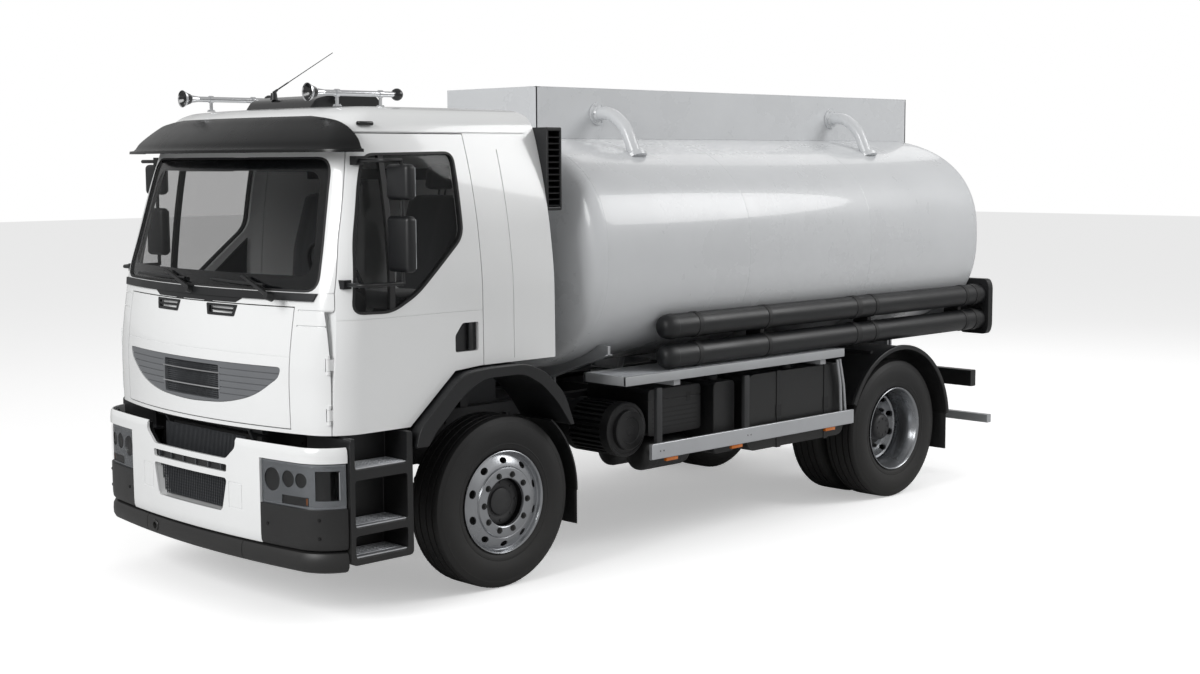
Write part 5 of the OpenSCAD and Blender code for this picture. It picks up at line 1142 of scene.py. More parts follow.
def buildSteps():
    low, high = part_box("cab_steps")
    x0, x1, inner, outer = low.x - axleX, high.x - axleX, 0.8013, high.y
    body = prismBm(rounded([(x0, 0.34), (x1, 0.34), (x1, high.z), (x0, high.z)], [0.03, 0.04, 0.02, 0.02]), "y", inner, outer)
    bays = [(0.378, 0.500), (0.545, 0.800), (0.860, 1.045)]
    cutters = [prismBm(rounded([(x0 + 0.04, a), (x1 - 0.03, a), (x1 - 0.03, b), (x0 + 0.04, b)], 0.02), "y", 0.95 + a * 0.06, 1.3) for a, b in bays]
    body = combine(body, cutters)
    piece("cab_step_wells", mirrored(body), polypropylene, "chassis", ["cab_steps"], sharp=32, bevel=0.005)
    treads = newBm()
    for z in (0.500, 0.800):
        addBox(treads, (x0 + 0.028, 1.004, z + 0.0005), (x1 - 0.02, outer - 0.004, z + 0.018), 0.004)
    treads2 = newBm()
    for z, depth in ((0.378, 0.973), (0.545, 0.983), (0.860, 1.002)):
        addBox(treads2, (x0 + 0.045, depth + 0.012, z + 0.0005), (x1 - 0.035, outer - 0.006, z + 0.010), 0.003)
        for i in range(6):
            y = depth + 0.03 + i * 0.028
            addBox(treads2, (x0 + 0.055, y, z + 0.009), (x1 - 0.045, y + 0.008, z + 0.014), 0.001)
        for i in range(14):
            x = x0 + 0.06 + i * 0.024
            addBox(treads2, (x, depth + 0.03, z + 0.009), (x + 0.006, depth + 0.18, z + 0.0125))
    piece("cab_step_treads", mirrored(treads2), aluminium, "chassis", weld=False)


buildBumper()
buildHeadlamps()
buildSteps()
print("front end built")


# ---------- mudguards ----------
def buildGuards():
    pieceOutline = [(0.725, 0.930), (0.700, 1.030), (0.386, 1.310), (0.200, 1.326), (-0.095, 1.326), (-0.250, 1.262), (-0.395, 1.120), (-0.470, 0.930),
                    (-0.440, 0.929), (-0.340, 1.070), (-0.215, 1.190), (-0.070, 1.268), (0.230, 1.268), (0.372, 1.200), (0.590, 1.000), (0.640, 0.929)]
    arch = prismBm(rounded(pieceOutline, [0.01, 0.05, 0.08, 0.06, 0.06, 0.06, 0.06, 0.01, 0.01, 0.06, 0.06, 0.06, 0.06, 0.08, 0.06, 0.01], 4), "y", 0.78, 1.22)
    piece("front_arches", mirrored(arch), polypropylene, "chassis", ["mudguards"], sharp=30, bevel=0.010)

    def band(x, r, t, start, end, y0, y1, steps=40):
        outline = [(x + (r + t) * math.cos(a), tyreR + (r + t) * math.sin(a)) for a in (math.radians(start + (end - start) * k / steps) for k in range(steps + 1))]
        outline += [(x + r * math.cos(a), tyreR + r * math.sin(a)) for a in (math.radians(end + (start - end) * k / steps) for k in range(steps + 1))]
        return prismBm(outline, "y", y0, y1)
    flaps = newBm()
    addBox(flaps, (-0.5862, 0.785, 0.292), (-0.576, 1.115, 0.515), 0.003)
    rearX0 = rearX - axleX
    addBox(flaps, (rearX0 - 0.6115, 0.60, 0.288), (rearX0 - 0.601, 1.20, 0.58), 0.003)
    for i in range(7):
        z = 0.32 + i * 0.026
        addBox(flaps, (rearX0 - 0.6120, 0.63, z), (rearX0 - 0.6105, 1.17, z + 0.006))
    piece("mud_flaps", mirrored(flaps), rubberTrim, "chassis")
    piece("front_guard_bands", mirrored(band(0, 0.575, 0.012, 130, 181, 0.78, 1.12)), polypropylene, "chassis", sharp=30, bevel=0.002)
    piece("rear_guard_bands", mirrored(band(rearX0, 0.600, 0.012, 23, 175, 0.56, 1.205)), polypropylene, "chassis", sharp=30, bevel=0.002)
    rim = band(rearX0, 0.590, 0.034, 23, 175, 1.19, 1.222)
    piece("rear_guard_rims", mirrored(rim), polypropylene, "chassis", sharp=30, bevel=0.008)
    arms = newBm()
    for a in (70, 125):
        x, z = rearX0 + 0.614 * math.cos(math.radians(a)), tyreR + 0.614 * math.sin(math.radians(a))
        addRod(arms, (x, 0.44, z), (x, 1.10, z), 0.014)
        addBox(arms, (x - 0.014, 0.4303, 0.85), (x + 0.014, 0.446, z + 0.01), 0.003)
    addBox(arms, (-0.607, 0.4303, 0.46), (-0.587, 1.0, 0.51), 0.004)
    addBox(arms, (-0.607, 0.4303, 0.46), (-0.587, 0.470, 0.91), 0.004)
    addBox(arms, (0.12, 0.38, 0.9703), (0.16, 0.43, 1.29), 0.004)
    addBox(arms, (0.12, 0.429, 1.268), (0.16, 0.781, 1.29), 0.004)
    piece("guard_stays", mirrored(arms), chassisPaint, "chassis")


buildGuards()
print("mudguards built")


# ---------- side fittings ----------
def buildHoseTubes():
    low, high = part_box("hose_tubes")
    x0, x1, y, r = low.x - axleX + 0.06, high.x - axleX, 1.139, 0.083
    tubes, rings = newBm(), newBm()
    for z in (1.252, 1.442):
        addSpin(tubes, [(0.0, 0.0), (0.030, -0.002), (0.052, -0.012), (0.068, -0.030), (0.077, -0.055), (r - 0.001, -0.085), (r - 0.001, -0.10), (r - 0.004, -0.104),
                        (r - 0.004, x0 - x1)], (x1, y, z), "x", steps=56, closed=False)
        for x, w in ((x1 - 0.31, 0.020), (-3.29, 0.030), (x0 + 0.10, 0.03)):
            addSpin(rings, [(r - 0.004, -w), (r, -w + 0.002), (r, w - 0.002), (r - 0.004, w)], (x, y, z), "x", steps=56, closed=False)
        for x in (-2.3, -3.5, -4.66):
            addSpin(rings, [(r - 0.004, -0.018), (r - 0.001, -0.018), (r - 0.001, 0.018), (r - 0.004, 0.018)], (x, y, z), "x", steps=56, closed=False)
        addBox(rings, (x1 - 0.075, y - 0.012, z + 0.050), (x1 - 0.045, y + 0.012, z + 0.073), 0.003)
    for x in (-2.3, -3.5, -4.66):
        addBox(rings, (x - 0.02, 1.0103, 1.29), (x + 0.02, y, 1.40), 0.003)
    piece("hose_tube_pipes", mirrored(tubes), polypropylene, "chassis", ["hose_tubes"], sharp=35)
    piece("hose_tube_rings", mirrored(rings), rubberTrim, "chassis", sharp=35)
    end = prismBm(rounded([(0.975, 1.165), (1.000, 1.132), (1.215, 1.132), (1.238, 1.190), (1.238, 1.510), (1.215, 1.562), (0.975, 1.562)],
                          [0.01, 0.02, 0.03, 0.03, 0.03, 0.03, 0.01]), "x", x0 - 0.06, x0)
    panel = prismBm(rounded([(0.995, 1.18), (1.010, 1.152), (1.205, 1.152), (1.222, 1.195), (1.222, 1.505), (1.205, 1.545), (0.995, 1.545)], 0.02), "x", x0 - 0.07, x0 - 0.056)
    end = combine(end, [panel])
    locks = newBm()
    for z in (1.252, 1.442):
        addRod(locks, (x0 - 0.0585, y, z), (x0 - 0.053, y, z), 0.070, segments=48)
        addBox(locks, (x0 - 0.0595, y - 0.012, z - 0.045), (x0 - 0.055, y + 0.012, z + 0.045), 0.001)
    piece("hose_tube_ends", mirrored(end), polypropylene, "chassis", sharp=30, bevel=0.004)
    piece("hose_tube_doors", mirrored(locks), powderBlack, "chassis")


def buildCatwalks():
    low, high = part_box("catwalks")
    x0, x1, y1 = low.x - axleX, high.x - axleX, high.y
    y0, z0, z1 = 0.846, 1.110, high.z
    frameBm = newBm()
    for y in (y0, y1 - 0.02):
        addBox(frameBm, (x0, y, z0), (x1, y + 0.02, z1), 0.003)
    for x in (x0, x1 - 0.02):
        addBox(frameBm, (x, y0 + 0.001, z0), (x + 0.02, y1 - 0.001, z1), 0.003)
    for x in (-2.9, -1.4):
        addBox(frameBm, (x - 0.03, 0.4303, z0 - 0.04), (x + 0.03, y1 - 0.03, z0 + 0.001), 0.003)
        addBox(frameBm, (x - 0.03, 0.4303, 0.87), (x + 0.03, 0.46, z0 - 0.039), 0.003)
    slats = newBm()
    for i in range(7):
        y = y0 + 0.026 + i * 0.047
        addBox(slats, (x0 + 0.021, y, z1 - 0.024), (x1 - 0.021, y + 0.038, z1 - 0.004), 0.003)
    ribs = newBm()
    for i in range(7):
        for k in range(3):
            y = y0 + 0.031 + i * 0.047 + k * 0.012
            addBox(ribs, (x0 + 0.03, y, z1 - 0.005), (x1 - 0.03, y + 0.004, z1 - 0.002))
    piece("catwalk_frames", mirrored(frameBm), galvanised, "chassis", ["catwalks"])
    piece("catwalk_slats", mirrored(slats), aluminium, "chassis")
    piece("catwalk_ribs", mirrored(ribs), aluminium, "chassis", weld=False)


def buildRails():
    x0, x1 = rearX - axleX + 0.582, -1.136
    rail = prismBm(rounded([(1.198, 0.622), (1.220, 0.622), (1.220, 0.722), (1.198, 0.722)], 0.006), "x", x0, x1)
    caps = newBm()
    for x in (x0 + 0.001, x1 - 0.013):
        addBox(caps, (x, 1.1985, 0.6225), (x + 0.012, 1.2195, 0.7215), 0.002)
    posts = newBm()
    for x in (-2.076, -1.230):
        addBox(posts, (x - 0.025, 1.170, 0.640), (x + 0.025, 1.199, 1.069), 0.003)
        boltRing(posts, (x, 1.22, 0.672), "y", 0.016, 2, 0.006, 0.0, flip=1)
    stays = newBm()
    addPipe(stays, [(x0 + 0.05, 1.185, 0.67), (x0 + 0.075, 1.185, 0.90), (x0 + 0.13, 1.19, 1.09)], 0.010, 12, 0.03)
    addPipe(stays, [(x0 + 0.10, 1.185, 0.67), (x0 + 0.115, 1.185, 0.92), (x0 + 0.16, 1.19, 1.09)], 0.010, 12, 0.03)
    piece("side_guard_rails", mirrored(rail), aluminium, "chassis", ["guard_rails"], sharp=35)
    piece("side_guard_caps", mirrored(caps), polypropylene, "chassis")
    piece("side_guard_posts", mirrored(posts), chassisPaint, "chassis")
    piece("side_guard_stays", mirrored(stays), galvanised, "chassis")
    markers = newBm()
    for x in (-1.33, -1.96, -2.96):
        addBox(markers, (x - 0.055, 1.190, 0.598), (x + 0.055, 1.214, 0.6215), 0.004)
    piece("side_markers", mirrored(markers), amberLens, "chassis")
    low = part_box("guard_rails")[0].x - axleX
    under = prismBm(rounded([(low, 0.410), (low + 0.055, 0.410), (low + 0.055, 0.475), (low, 0.475)], 0.006), "y", -1.16, 1.16)
    piece("underride_bar", under, galvanised, "chassis", sharp=35)
    legs = newBm()
    addBox(legs, (low + 0.054, 0.36, 0.41), (low + 0.13, 0.42, 0.7195), 0.004)
    piece("underride_legs", mirrored(legs), chassisPaint, "chassis")
    ends = newBm()
    addBox(ends, (low + 0.0005, 1.145, 0.4105), (low + 0.0545, 1.1598, 0.4745), 0.003)
    piece("underride_caps", mirrored(ends), polypropylene, "chassis")


def buildBoxes():
    # fuel tank with straps and cap, the additive tank ahead of it
    tankOutline = rounded([(-3.19, 0.54), (-2.13, 0.54), (-2.13, 1.06), (-3.19, 1.06)], 0.09, 8)
    body = prismBm(tankOutline, "y", 0.4906, 1.150)
    straps = newBm()
    for x in (-2.98, -2.46):
        strap = prismBm(rounded([(-3.19 - 0.005, 0.535), (-2.125, 0.535), (-2.125, 1.065), (-3.195, 1.065)], 0.092, 8), "y", 0.4906, 1.155)
        strap = keep(strap, [boxBm((x - 0.022, 0.4, 0.4), (x + 0.022, 1.3, 1.2))])
        piece("fuel_strap" + str(round(-x * 100)), strap, polypropylene, "chassis", sharp=30, bevel=0.002)
        addBox(straps, (x - 0.026, 1.1545, 0.75), (x + 0.026, 1.1558, 0.83))
    piece("fuel_tank_body", body, powderBlack, "chassis", ["fuel_tanks"], sharp=30, bevel=0.006)
    piece("fuel_strap_pads", straps, rubberTrim, "chassis")
    small = prismBm(rounded([(-2.04, 0.56), (-1.83, 0.56), (-1.83, 1.04), (-2.04, 1.04)], 0.04), "y", 0.4906, 1.12)
    piece("additive_tank_body", small, polypropylene, "chassis", sharp=30, bevel=0.008)
    capsBm = newBm()
    addSpin(capsBm, [(0.0, 0.0405), (0.030, 0.040), (0.038, 0.036), (0.042, 0.028), (0.042, 0.0), (0.036, 0.0), (0.036, -0.004), (0, -0.004)], (-2.64, 1.06, 1.0600), "z", closed=False, steps=32)
    addSpin(capsBm, [(0.0, 0.034), (0.028, 0.033), (0.036, 0.028), (0.038, 0.02), (0.038, -0.004), (0, -0.004)], (-1.935, 1.01, 1.041), "z", closed=False, steps=32)
    piece("filler_caps", capsBm, polypropylene, "chassis", sharp=35)
    # air cleaner
    x, z = -1.085, 0.805
    canister = newBm()
    addSpin(canister, [(0.0, 0.4905), (0.150, 0.4905), (0.150, 0.64), (0.172, 0.64), (0.172, 0.70), (0.150, 0.70), (0.150, 0.972), (0.174, 0.976), (0.174, 1.045), (0.166, 1.052),
                       (0.150, 1.052), (0.148, 1.049), (0.128, 1.052), (0.126, 1.080), (0.120, 1.085), (0.085, 1.085), (0.080, 1.079), (0.035, 1.079), (0.030, 1.084), (0.0, 1.084)],
            (x, 0, z), "y", closed=False, steps=72)
    piece("air_cleaner_body", canister, polypropylene, "chassis", ["air_cleaner"], sharp=30)
    ribs = newBm()
    for k in range(30):
        a = math.radians(12 * k)
        turn = Matrix.Translation(place(x, 0.835, z)) @ Matrix.Rotation(a, 4, "Y") @ Matrix.Translation((0.159, 0, 0))
        bmesh.ops.create_cube(ribs, size=1.0, matrix=turn @ Matrix.Diagonal((0.026, 0.288, 0.016, 1)))
    for k in range(4):
        a = math.radians(45 + 90 * k)
        turn = Matrix.Translation(place(x, 1.010, z)) @ Matrix.Rotation(a, 4, "Y") @ Matrix.Translation((0.170, 0, 0))
        bmesh.ops.create_cube(ribs, size=1.0, matrix=turn @ Matrix.Diagonal((0.007, 0.06, 0.03, 1)))
    piece("air_cleaner_ribs", ribs, polypropylene, "chassis", weld=False, bevel=0.002)
    # battery boxes and air reservoirs, both sides
    box = prismBm(rounded([(-1.78, 0.735), (-1.28, 0.735), (-1.28, 1.035), (-1.78, 1.035)], 0.03), "y", 0.4906, 1.049)
    box = combine(box, [combine(boxBm((-1.79, 1.03, 0.958), (-1.27, 1.06, 0.964)), [boxBm((-1.775, 0.9, 0.90), (-1.285, 1.045, 1.00))])])
    piece("battery_box_bodies", mirrored(box), polypropylene, "chassis", ["battery_boxes"], sharp=30, bevel=0.005)
    trim = newBm()
    for x in (-1.66, -1.40):
        addBox(trim, (x - 0.02, 1.0485, 0.93), (x + 0.02, 1.0498, 0.99))
    for i in range(5):
        addBox(trim, (-1.74, 1.0480, 0.78 + i * 0.030), (-1.32, 1.0498, 0.792 + i * 0.030))
    piece("battery_box_trim", mirrored(trim), rubberTrim, "chassis")
    air = newBm()
    for y in (0.64, 0.90):
        addSpin(air, [(0.0, 0.0), (0.05, -0.003), (0.085, -0.014), (0.104, -0.032), (0.110, -0.055), (0.110, -0.405), (0.104, -0.428), (0.085, -0.446), (0.05, -0.457), (0.0, -0.460)],
                (-1.30, y, 0.60), "x", closed=False, steps=40)
        for x in (-1.42, -1.64):
            addSpin(air, [(0.109, -0.012), (0.1105, -0.012), (0.1105, 0.012), (0.109, 0.012)], (x, y, 0.60), "x", closed=False, steps=40)
        addBox(air, (-1.56, y - 0.02, 0.70), (-1.50, y + 0.02, 0.7347), 0.003)
    piece("air_reservoir_bodies", mirrored(air), powderBlack, "chassis", ["air_reservoirs"], sharp=35)
    pipe = newBm()
    addSpin(pipe, [(0.0, 0.0), (0.20, -0.004), (0.228, -0.012), (0.240, -0.03), (0.240, -0.92), (0.228, -0.938), (0.20, -0.946), (0.0, -0.95)], (-2.15, -0.83, 0.78), "x", closed=False, steps=56)
    for x in (-2.35, -2.9):
        addSpin(pipe, [(0.238, -0.02), (0.2400, -0.02), (0.2400, 0.02), (0.238, 0.02)], (x, -0.83, 0.78), "x", closed=False, steps=56)
    addBox(pipe, (-2.70, -0.70, 0.76), (-2.60, -0.4906, 0.82), 0.004)
    addSpin(pipe, [(0.050, -0.93), (0.055, -0.93), (0.055, -0.999), (0.055, -1.0295), (0.050, -1.0295)], (-2.15, -0.83, 0.74), "x", steps=32)
    piece("silencer_body", pipe, sheetSteel, "chassis", ["silencer"], sharp=35)


buildHoseTubes()
buildCatwalks()
buildRails()
buildBoxes()
print("side fittings built")

# ---------- rear ----------
def buildRear():
    low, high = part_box("rear_light_bar")
    x0 = low.x - axleX
    bar = prismBm(rounded([(x0, 0.685), (x0 + 0.07, 0.685), (x0 + 0.07, 0.815), (x0, 0.815)], 0.01), "y", -1.0, 1.0)
    cups = newBm()
    for y in (0.66, 0.80, 0.925):
        addBox(cups, (x0 - 0.01, y - 0.06, 0.700), (x0 + 0.012, y + 0.055, 0.800))
    cups = combine(bar, [mirrored(cups)])
    piece("rear_bar_body", cups, powderBlack, "chassis", ["rear_light_bar"], sharp=30, bevel=0.002)
    mounts = newBm()
    addBox(mounts, (x0 + 0.069, 0.34, 0.72), (x0 + 0.0897, 0.43, 0.815), 0.003)
    piece("rear_bar_mounts", mirrored(mounts), chassisPaint, "chassis")
    reds, ambers, clears = newBm(), newBm(), newBm()
    for bm, y in ((clears, 0.66), (ambers, 0.80), (reds, 0.925)):
        addBox(bm, (x0 + 0.001, y - 0.057, 0.703), (x0 + 0.013, y + 0.052, 0.797), 0.004)
        for i in range(6):
            addBox(bm, (x0 + 0.0003, y - 0.05, 0.712 + i * 0.014), (x0 + 0.002, y + 0.045, 0.716 + i * 0.014))
    for bm, finish, name in ((reds, redLens, "stop"), (ambers, amberLens, "turn"), (clears, plateWhite, "reverse")):
        piece("rear_lamps_" + name, mirrored(bm), finish, "chassis", weld=False)
    plate = newBm()
    addBox(plate, (x0 + 0.0005, -0.27, 0.69), (x0 + 0.0015, 0.27, 0.81), 0.0)
    piece("rear_plate_blank", plate, plateWhite, "chassis")
    # ladder up the rear head
    low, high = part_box("rear_ladder")
    x = tank["back"] - 0.235
    ladder = newBm()
    for y in (-0.56, -0.24):
        addPipe(ladder, [(x, y, low.z + 0.0), (x, y, high.z)], 0.016, 20)
        for z in (1.30, 2.56):
            dz, dy = abs(z - tank["z"]) - 0.011, abs(y) - 0.011
            share = ((dy / tank["half"]) ** tank["power"] + (dz / tank["tall"]) ** tank["power"]) ** (1 / tank["power"])
            out = next((a + (b - a) * (s - share) / (s - e) for (a, s), (b, e) in zip(headCurve, headCurve[1:]) if e <= share <= s), 0.115)
            addRod(ladder, (x, y, z), (tank["back"] - out - 0.0003, y, z), 0.011, segments=16)
            addRod(ladder, (tank["back"] - out - 0.012, y, z), (tank["back"] - out - 0.004, y, z), 0.030, segments=24)
    for i in range(7):
        z = 1.06 + i * 0.28
        addRod(ladder, (x, -0.56, z), (x, -0.24, z), 0.0125, segments=20)
        for k in range(13):
            addRod(ladder, (x, -0.54 + k * 0.0235, z), (x, -0.535 + k * 0.0235, z), 0.013, segments=16)
    piece("rear_ladder_frame", ladder, aluminium, "chassis", ["rear_ladder"], sharp=35)


# ---------- cab fittings ----------
def roundedHead(bm, low, high, bulge):
    # a soft mirror shell: a box with big rounded edges
    part = newBm()
    addBox(part, low, high)
    bmesh.ops.bevel(part, geom=part.edges[:], offset=bulge, segments=6, affect="EDGES", profile=0.5, material=-1, clamp_overlap=True)
    mesh = bpy.data.meshes.new("head")
    part.to_mesh(mesh)
    part.free()
    bm.from_mesh(mesh)


def buildMirrors(side):
    sign = 1 if side == "left" else -1
    px, py = 0.835, 1.262
    arms, heads, glasses = newBm(), newBm(), newBm()
    feet = newBm()
    for z, fx, fy in ((2.5, 0.975, 1.055), (1.845, 1.128, 1.130)):
        foot = combine(boxBm((fx - 0.05, fy - 0.06, z - 0.024), (fx, fy, z + 0.024)), [cabSolid(-0.0003)])
        if sign < 0:
            bmesh.ops.scale(foot, verts=foot.verts[:], vec=(1, -1, 1))
            bmesh.ops.reverse_faces(foot, faces=foot.faces[:])
        piece("mirror_foot_" + side + str(int(z * 10)), foot, polypropylene, "door_" + side, bevel=0.004)
        addPipe(arms, [(fx - 0.025, fy - 0.01, z), (fx - 0.025, py, z), (px, py, z)], 0.011, 20, 0.06)
    addRod(arms, (px, py, 1.840), (px, py, 2.505), 0.011)
    for z0, z1 in ((2.29, 2.48), (1.905, 2.205)):
        roundedHead(heads, (px - 0.030, py - 0.100, z0), (px + 0.036, py + 0.095, z1), 0.027)
        addBox(glasses, (px - 0.0345, py - 0.082, z0 + 0.018), (px - 0.0295, py + 0.077, z1 - 0.018), 0.004)
        for z in (z0 + 0.03, z1 - 0.03):
            addRod(arms, (px, py, z - 0.010), (px, py, z + 0.010), 0.0165, segments=20)
    for bm, finish, name in ((arms, powderBlack, "arms"), (heads, polypropylene, "shells"), (glasses, mirrorGlass, "faces")):
        if sign < 0:
            bmesh.ops.scale(bm, verts=bm.verts[:], vec=(1, -1, 1))
            bmesh.ops.reverse_faces(bm, faces=bm.faces[:])
        piece("mirror_" + name + "_" + side, bm, finish, "door_" + side, ["mirrors_" + side] if name == "arms" else [], sharp=35)


def buildRoof():
    low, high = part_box("roof_hatch")
    wedge = newBm()
    addPrism(wedge, rounded([(0.25, roof + 0.0003), (0.76, roof + 0.0003), (0.72, roof + 0.055), (0.60, roof + 0.082), (0.30, roof + 0.085), (0.262, roof + 0.05)],
                            [0.003, 0.003, 0.03, 0.06, 0.03, 0.03], 5), "y", -0.33, 0.33)
    wedge = combine(wedge, [prismBm([(0.30, roof + 0.079), (0.56, roof + 0.077), (0.56, roof + 0.2), (0.30, roof + 0.2)], "y", -0.27, 0.27)])
    piece("roof_hatch_lid", wedge, glossBlack, "cab", ["roof_hatch"], sharp=30, bevel=0.006)
    ribs = newBm()
    for i in range(6):
        addBox(ribs, (0.31, -0.24 + i * 0.09, roof + 0.076), (0.55, -0.21 + i * 0.09, roof + 0.083), 0.003)
    piece("roof_hatch_ribs", ribs, glossBlack, "cab")
    aerial = newBm()
    base = Vector((0.70, -0.12, roof + 0.105))
    lean = Vector((-math.sin(math.radians(60)), 0, math.cos(math.radians(60))))
    addRod(aerial, (0.70, -0.12, roof + 0.06), (0.70, -0.12, roof + 0.100), 0.022, 0.018)
    addRod(aerial, (0.70, -0.12, roof + 0.100), tuple(base + lean * 0.03), 0.011, 0.006)
    addRod(aerial, tuple(base), tuple(base + lean * 0.12), 0.0042)
    addRod(aerial, tuple(base + lean * 0.12), tuple(base + lean * 0.497), 0.0028, 0.0022, segments=12)
    piece("roof_aerial", aerial, powderBlack, "cab")
    tubes, bells = newBm(), newBm()
    z = roof + 0.075
    addRod(tubes, (0.40, 0.65, z), (0.90, 0.65, z), 0.0165, segments=32)
    addSpin(tubes, [(0.015, 0.0), (0.017, 0.0), (0.022, 0.04), (0.032, 0.075), (0.048, 0.100), (0.052, 0.108), (0.050, 0.109), (0.044, 0.100), (0.029, 0.075), (0.018, 0.04)],
            (0.890, 0.65, z), "x", steps=48)
    for x in (0.50, 0.80):
        addRod(tubes, (x, 0.65, roof + 0.0003), (x, 0.65, roof + 0.012), 0.026, 0.020)
        addRod(tubes, (x, 0.65, roof + 0.01), (x, 0.65, z - 0.012), 0.010)
        addRod(tubes, (x - 0.012, 0.65, z), (x + 0.012, 0.65, z), 0.022, segments=32)
    bmesh.ops.create_uvsphere(bells, u_segments=32, v_segments=20, radius=0.0355, matrix=Matrix.Translation(place(0.381, 0.65, z)))
    addSpin(bells, [(0.0, 0.052), (0.030, 0.058), (0.042, 0.092), (0.046, 0.104), (0.030, 0.090), (0.0, 0.07)], (0.890, 0.65, z), "x", closed=False, steps=40)
    piece("horn_tubes", mirrored(tubes), chrome, "cab", ["horns"], sharp=35)
    piece("horn_bells", mirrored(bells), glossBlack, "cab", sharp=35)
    lamp = newBm()
    roundedHead(lamp, (0.80, 0.950, 2.688), (0.90, 0.985, 2.712), 0.009)
    piece("roof_side_lamps", mirrored(lamp), glossBlack, "cab")


def buildLouvre():
    low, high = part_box("rear_louvre")
    x1 = high.x - axleX
    case = combine(boxBm((x1 - 0.12, 0.82, 2.20), (x1, high.y, 2.69)), [boxBm((x1 - 0.106, 0.90, 2.222), (x1 - 0.014, 1.2, 2.668))])
    piece("intake_case", case, polypropylene, "cab", ["rear_louvre"], sharp=30, bevel=0.006)
    slats = newBm()
    for i in range(12):
        z = 2.226 + i * 0.0365
        addPrism(slats, [(0.955, z + 0.022), (0.960, z + 0.026), (high.y - 0.002, z + 0.006), (high.y - 0.006, z)], "x", x1 - 0.107, x1 - 0.013)
    addBox(slats, (x1 - 0.107, 0.90, 2.222), (x1 - 0.013, 0.905, 2.668))
    piece("intake_slats", slats, polypropylene, "cab", sharp=30)
    duct = newBm()
    addBox(duct, (x1 - 0.10, 0.84, 1.42), (x1, 1.0, 2.201), 0.02)
    for z in (1.60, 1.90):
        addBox(duct, (x1 - 0.102, 0.838, z), (x1, 1.002, z + 0.03), 0.006)
    piece("intake_duct", duct, polypropylene, "cab", sharp=30)


# ---------- cabin ----------
def cushionForm(outline, middle, halfWidth, soft):
    # a crowned pad: full in the middle and drawn in towards its sewn sides, with two sewn channels
    bm = newBm()
    rings = []
    for k in range(33):
        t = math.sin(math.pi / 2 * (k / 16 - 1))
        inset = soft * (1 - math.sqrt(max(0.0, 1 - t ** 4))) + 0.006 * math.exp(-((abs(t) - 0.42) / 0.035) ** 2)
        shape = grown(rounded(outline, 0.045, 7), -inset)
        rings.append([place(x, middle + halfWidth * t, z) for x, z in shape])
    addLoft(bm, rings)
    return bm


def buildSeats():
    for side in (1, -1):
        tag = "left" if side > 0 else "right"
        f = cab["floor"]
        middle = side * 0.545
        cushion = cushionForm([(0.062, f + 0.24), (0.50, f + 0.24), (0.538, f + 0.30), (0.525, f + 0.355), (0.075, f + 0.335)], middle, 0.250, 0.042)
        back = cushionForm([(0.075, f + 0.32), (0.185, f + 0.32), (0.165, f + 0.55), (0.060, f + 0.895), (-0.045, f + 0.895), (0.03, f + 0.55)], middle, 0.232, 0.036)
        head = cushionForm([(0.025, f + 0.925), (-0.045, f + 0.925), (-0.065, f + 1.075), (0.005, f + 1.075)], middle, 0.122, 0.026)
        for bm, name in ((cushion, "cushion"), (back, "back"), (head, "head")):
            made = piece("seat_" + name + "_" + tag, bm, seatCloth, "cab", ["seats"] if name == "cushion" else [], sharp=60)
        rails = newBm()
        for y in (side * 0.545 - 0.03, side * 0.545 + 0.03):
            addRod(rails, (-0.020, y, f + 0.87), (-0.035, y, f + 0.94), 0.006, segments=12)
        addBox(rails, (0.10, side * 0.545 - 0.165, f + 0.0005), (0.46, side * 0.545 + 0.165, f + 0.03), 0.006)
        addBox(rails, (0.14, side * 0.545 - 0.13, f + 0.03), (0.42, side * 0.545 + 0.13, f + 0.235), 0.02)
        piece("seat_base_" + tag, rails, powderBlack, "cab")


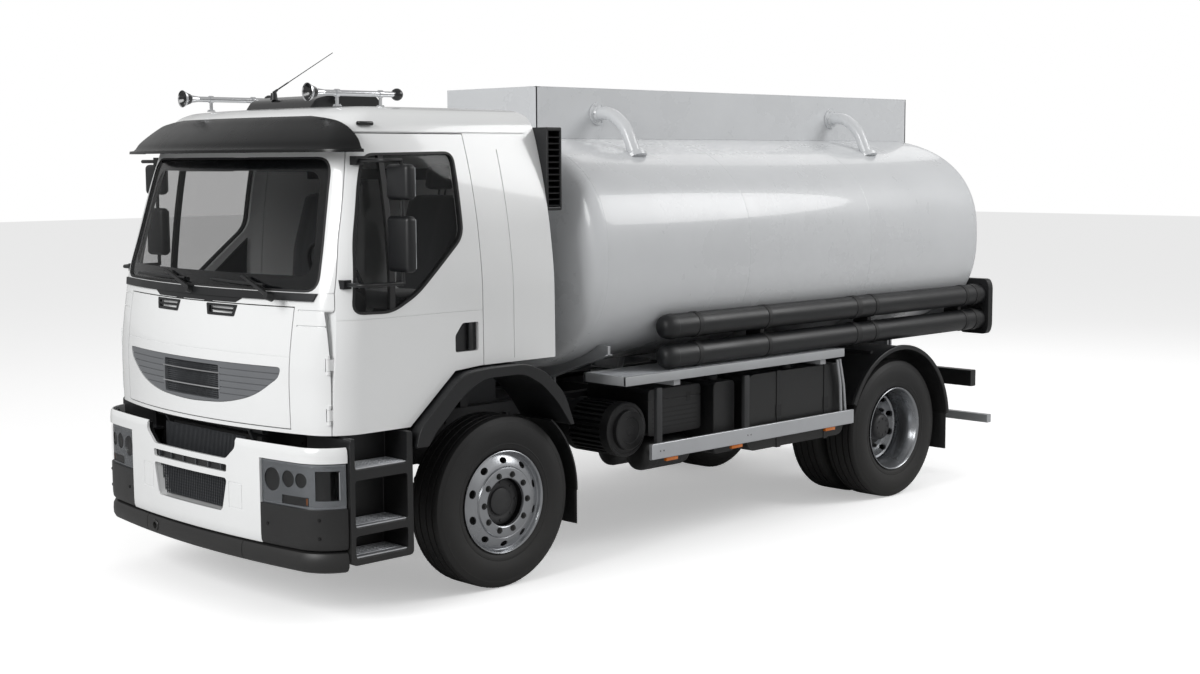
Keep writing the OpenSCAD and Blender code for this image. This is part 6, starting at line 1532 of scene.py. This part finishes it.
def buildCabin():
    f = cab["floor"]
    dash = newBm()
    addPrism(dash, rounded([(1.1495, f + 0.24), (1.1495, 1.81), (0.99, 1.808), (0.90, 1.78), (0.862, 1.72), (0.885, 1.66), (0.93, f + 0.24)],
                           [0.004, 0.01, 0.03, 0.05, 0.04, 0.03, 0.01]), "y", -0.98, 0.98)
    piece("dashboard_body", dash, cabinPlastic, "cab", ["dashboard"], sharp=30, bevel=0.006)
    console = newBm()
    addBox(console, (0.862, -0.258, f + 0.0005), (1.0, 0.258, f + 0.245), 0.02)
    for i in range(4):
        addBox(console, (0.8605, -0.20 + i * 0.105, f + 0.14), (0.864, -0.12 + i * 0.105, f + 0.19), 0.001)
    piece("dashboard_console", console, cabinPlastic, "cab")
    vents = newBm()
    for y in (-0.86, -0.30, 0.02, 0.88):
        for i in range(5):
            addBox(vents, (0.874, y - 0.06, 1.675 + i * 0.014), (0.90, y + 0.06, 1.681 + i * 0.014))
    piece("dashboard_vents", vents, glossBlack, "cab", weld=False)
    centre = place(0.74, 0.52, 1.85)
    turn = Matrix.Translation(centre) @ Matrix.Rotation(math.radians(-62), 4, "Y")
    ring = newBm()
    profile = [(0.215 + 0.0135 * math.cos(a), 0.0135 * math.sin(a)) for a in (2 * math.pi * k / 16 for k in range(16))]
    verts = [ring.verts.new((r, 0, h)) for r, h in profile]
    edges = [ring.edges.new((verts[i], verts[(i + 1) % 16])) for i in range(16)]
    bmesh.ops.spin(ring, geom=verts + edges, cent=(0, 0, 0), axis=(0, 0, 1), dvec=(0, 0, 0), angle=2 * math.pi, steps=64, use_merge=True)
    bmesh.ops.recalc_face_normals(ring, faces=ring.faces[:])
    for k in range(3):
        spoke = bmesh.ops.create_cube(ring, size=1.0, matrix=Matrix.Rotation(k * 2 * math.pi / 3, 4, "Z") @ Matrix.Translation((0.115, 0, -0.002)) @ Matrix.Diagonal((0.19, 0.022, 0.011, 1)))
    bmesh.ops.create_cone(ring, cap_ends=True, segments=40, radius1=0.051, radius2=0.046, depth=0.026)
    bmesh.ops.create_cone(ring, cap_ends=True, segments=28, radius1=0.023, radius2=0.023, depth=0.137, matrix=Matrix.Translation((0, 0, -0.081)))
    bmesh.ops.transform(ring, verts=ring.verts[:], matrix=turn)
    piece("steering_wheel_rim", ring, rubberTrim, "cab", ["steering_wheel"], sharp=35)
    shelf = newBm()
    addBox(shelf, (-0.315, -0.95, 2.38), (-0.10, 0.95, 2.41), 0.008)
    addBox(shelf, (-0.11, -0.95, 2.38), (-0.10, 0.95, 2.45), 0.003)
    piece("cabin_shelf", shelf, cabinPlastic, "cab")
    visors = newBm()
    for y in (-0.42, 0.42):
        addBox(visors, (0.985, y - 0.30, 2.44), (0.997, y + 0.30, 2.60), 0.005)
    piece("cabin_visors", visors, cabinLight, "cab")
    mat = newBm()
    addBox(mat, (-0.30, -0.98, f + 0.0003), (1.145, 0.98, f + 0.004))
    piece("cabin_mat", mat, rubberTrim, "cab")


buildRear()
buildMirrors("left")
buildMirrors("right")
buildRoof()
buildLouvre()
buildSeats()
buildCabin()
print("cab fittings built")


# ---------- frame and running gear: the construction's own meshes, in their real finishes ----------
def coat(names, finish):
    for name in names:
        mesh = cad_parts[name].data
        for i in range(max(1, len(mesh.materials))):
            if i < len(mesh.materials):
                mesh.materials[i] = finish
            else:
                mesh.materials.append(finish)


coat(["frame_rails", "cross_members", "frame_brackets", "front_axle", "rear_axle", "tie_rod", "knuckle_left", "knuckle_right"], chassisPaint)
coat(["engine"], castIron)


def buildRunningGear():
    bolts = newBm()
    for i in range(34):
        x = 1.10 - i * 0.175
        for z in (0.80, 0.89):
            addRod(bolts, (x, 0.4295, z), (x, 0.437, z), 0.010, segments=8)
    piece("rail_bolts", mirrored(bolts), chassisPaint, "chassis", weld=False)
    clips = newBm()
    for x, z in ((0, 0.555), (rearX - axleX, 0.69)):
        for dx in (-0.055, 0.055):
            addPipe(clips, [(x + dx, 0.345, z - 0.16), (x + dx, 0.345, z + 0.012), (x + dx, 0.435, z + 0.012), (x + dx, 0.435, z - 0.16)], 0.009, 12, 0.02)
    piece("spring_bolts", mirrored(clips), chassisPaint, "chassis")
    hoses = newBm()
    addPipe(hoses, [(0.55, 0.18, 1.185), (0.40, 0.24, 1.205), (0.10, 0.26, 1.205), (-0.10, 0.22, 1.185)], 0.028, 20, 0.1)
    addPipe(hoses, [(-0.30, -0.20, 1.16), (-0.30, -0.20, 1.21), (0.3, -0.20, 1.21), (0.3, -0.20, 1.16)], 0.025, 20, 0.08)
    piece("engine_hoses", hoses, rubberTrim, "chassis")
    lines = newBm()
    for k in range(3):
        addPipe(lines, [(0.6, 0.418 - k * 0.012, 0.93), (-1.2, 0.418 - k * 0.012, 0.93), (-4.9, 0.418 - k * 0.012, 0.93)], 0.005, 8, 0.05)
    piece("air_lines", mirrored(lines), rubberTrim, "chassis")


buildRunningGear()
print("running gear dressed")
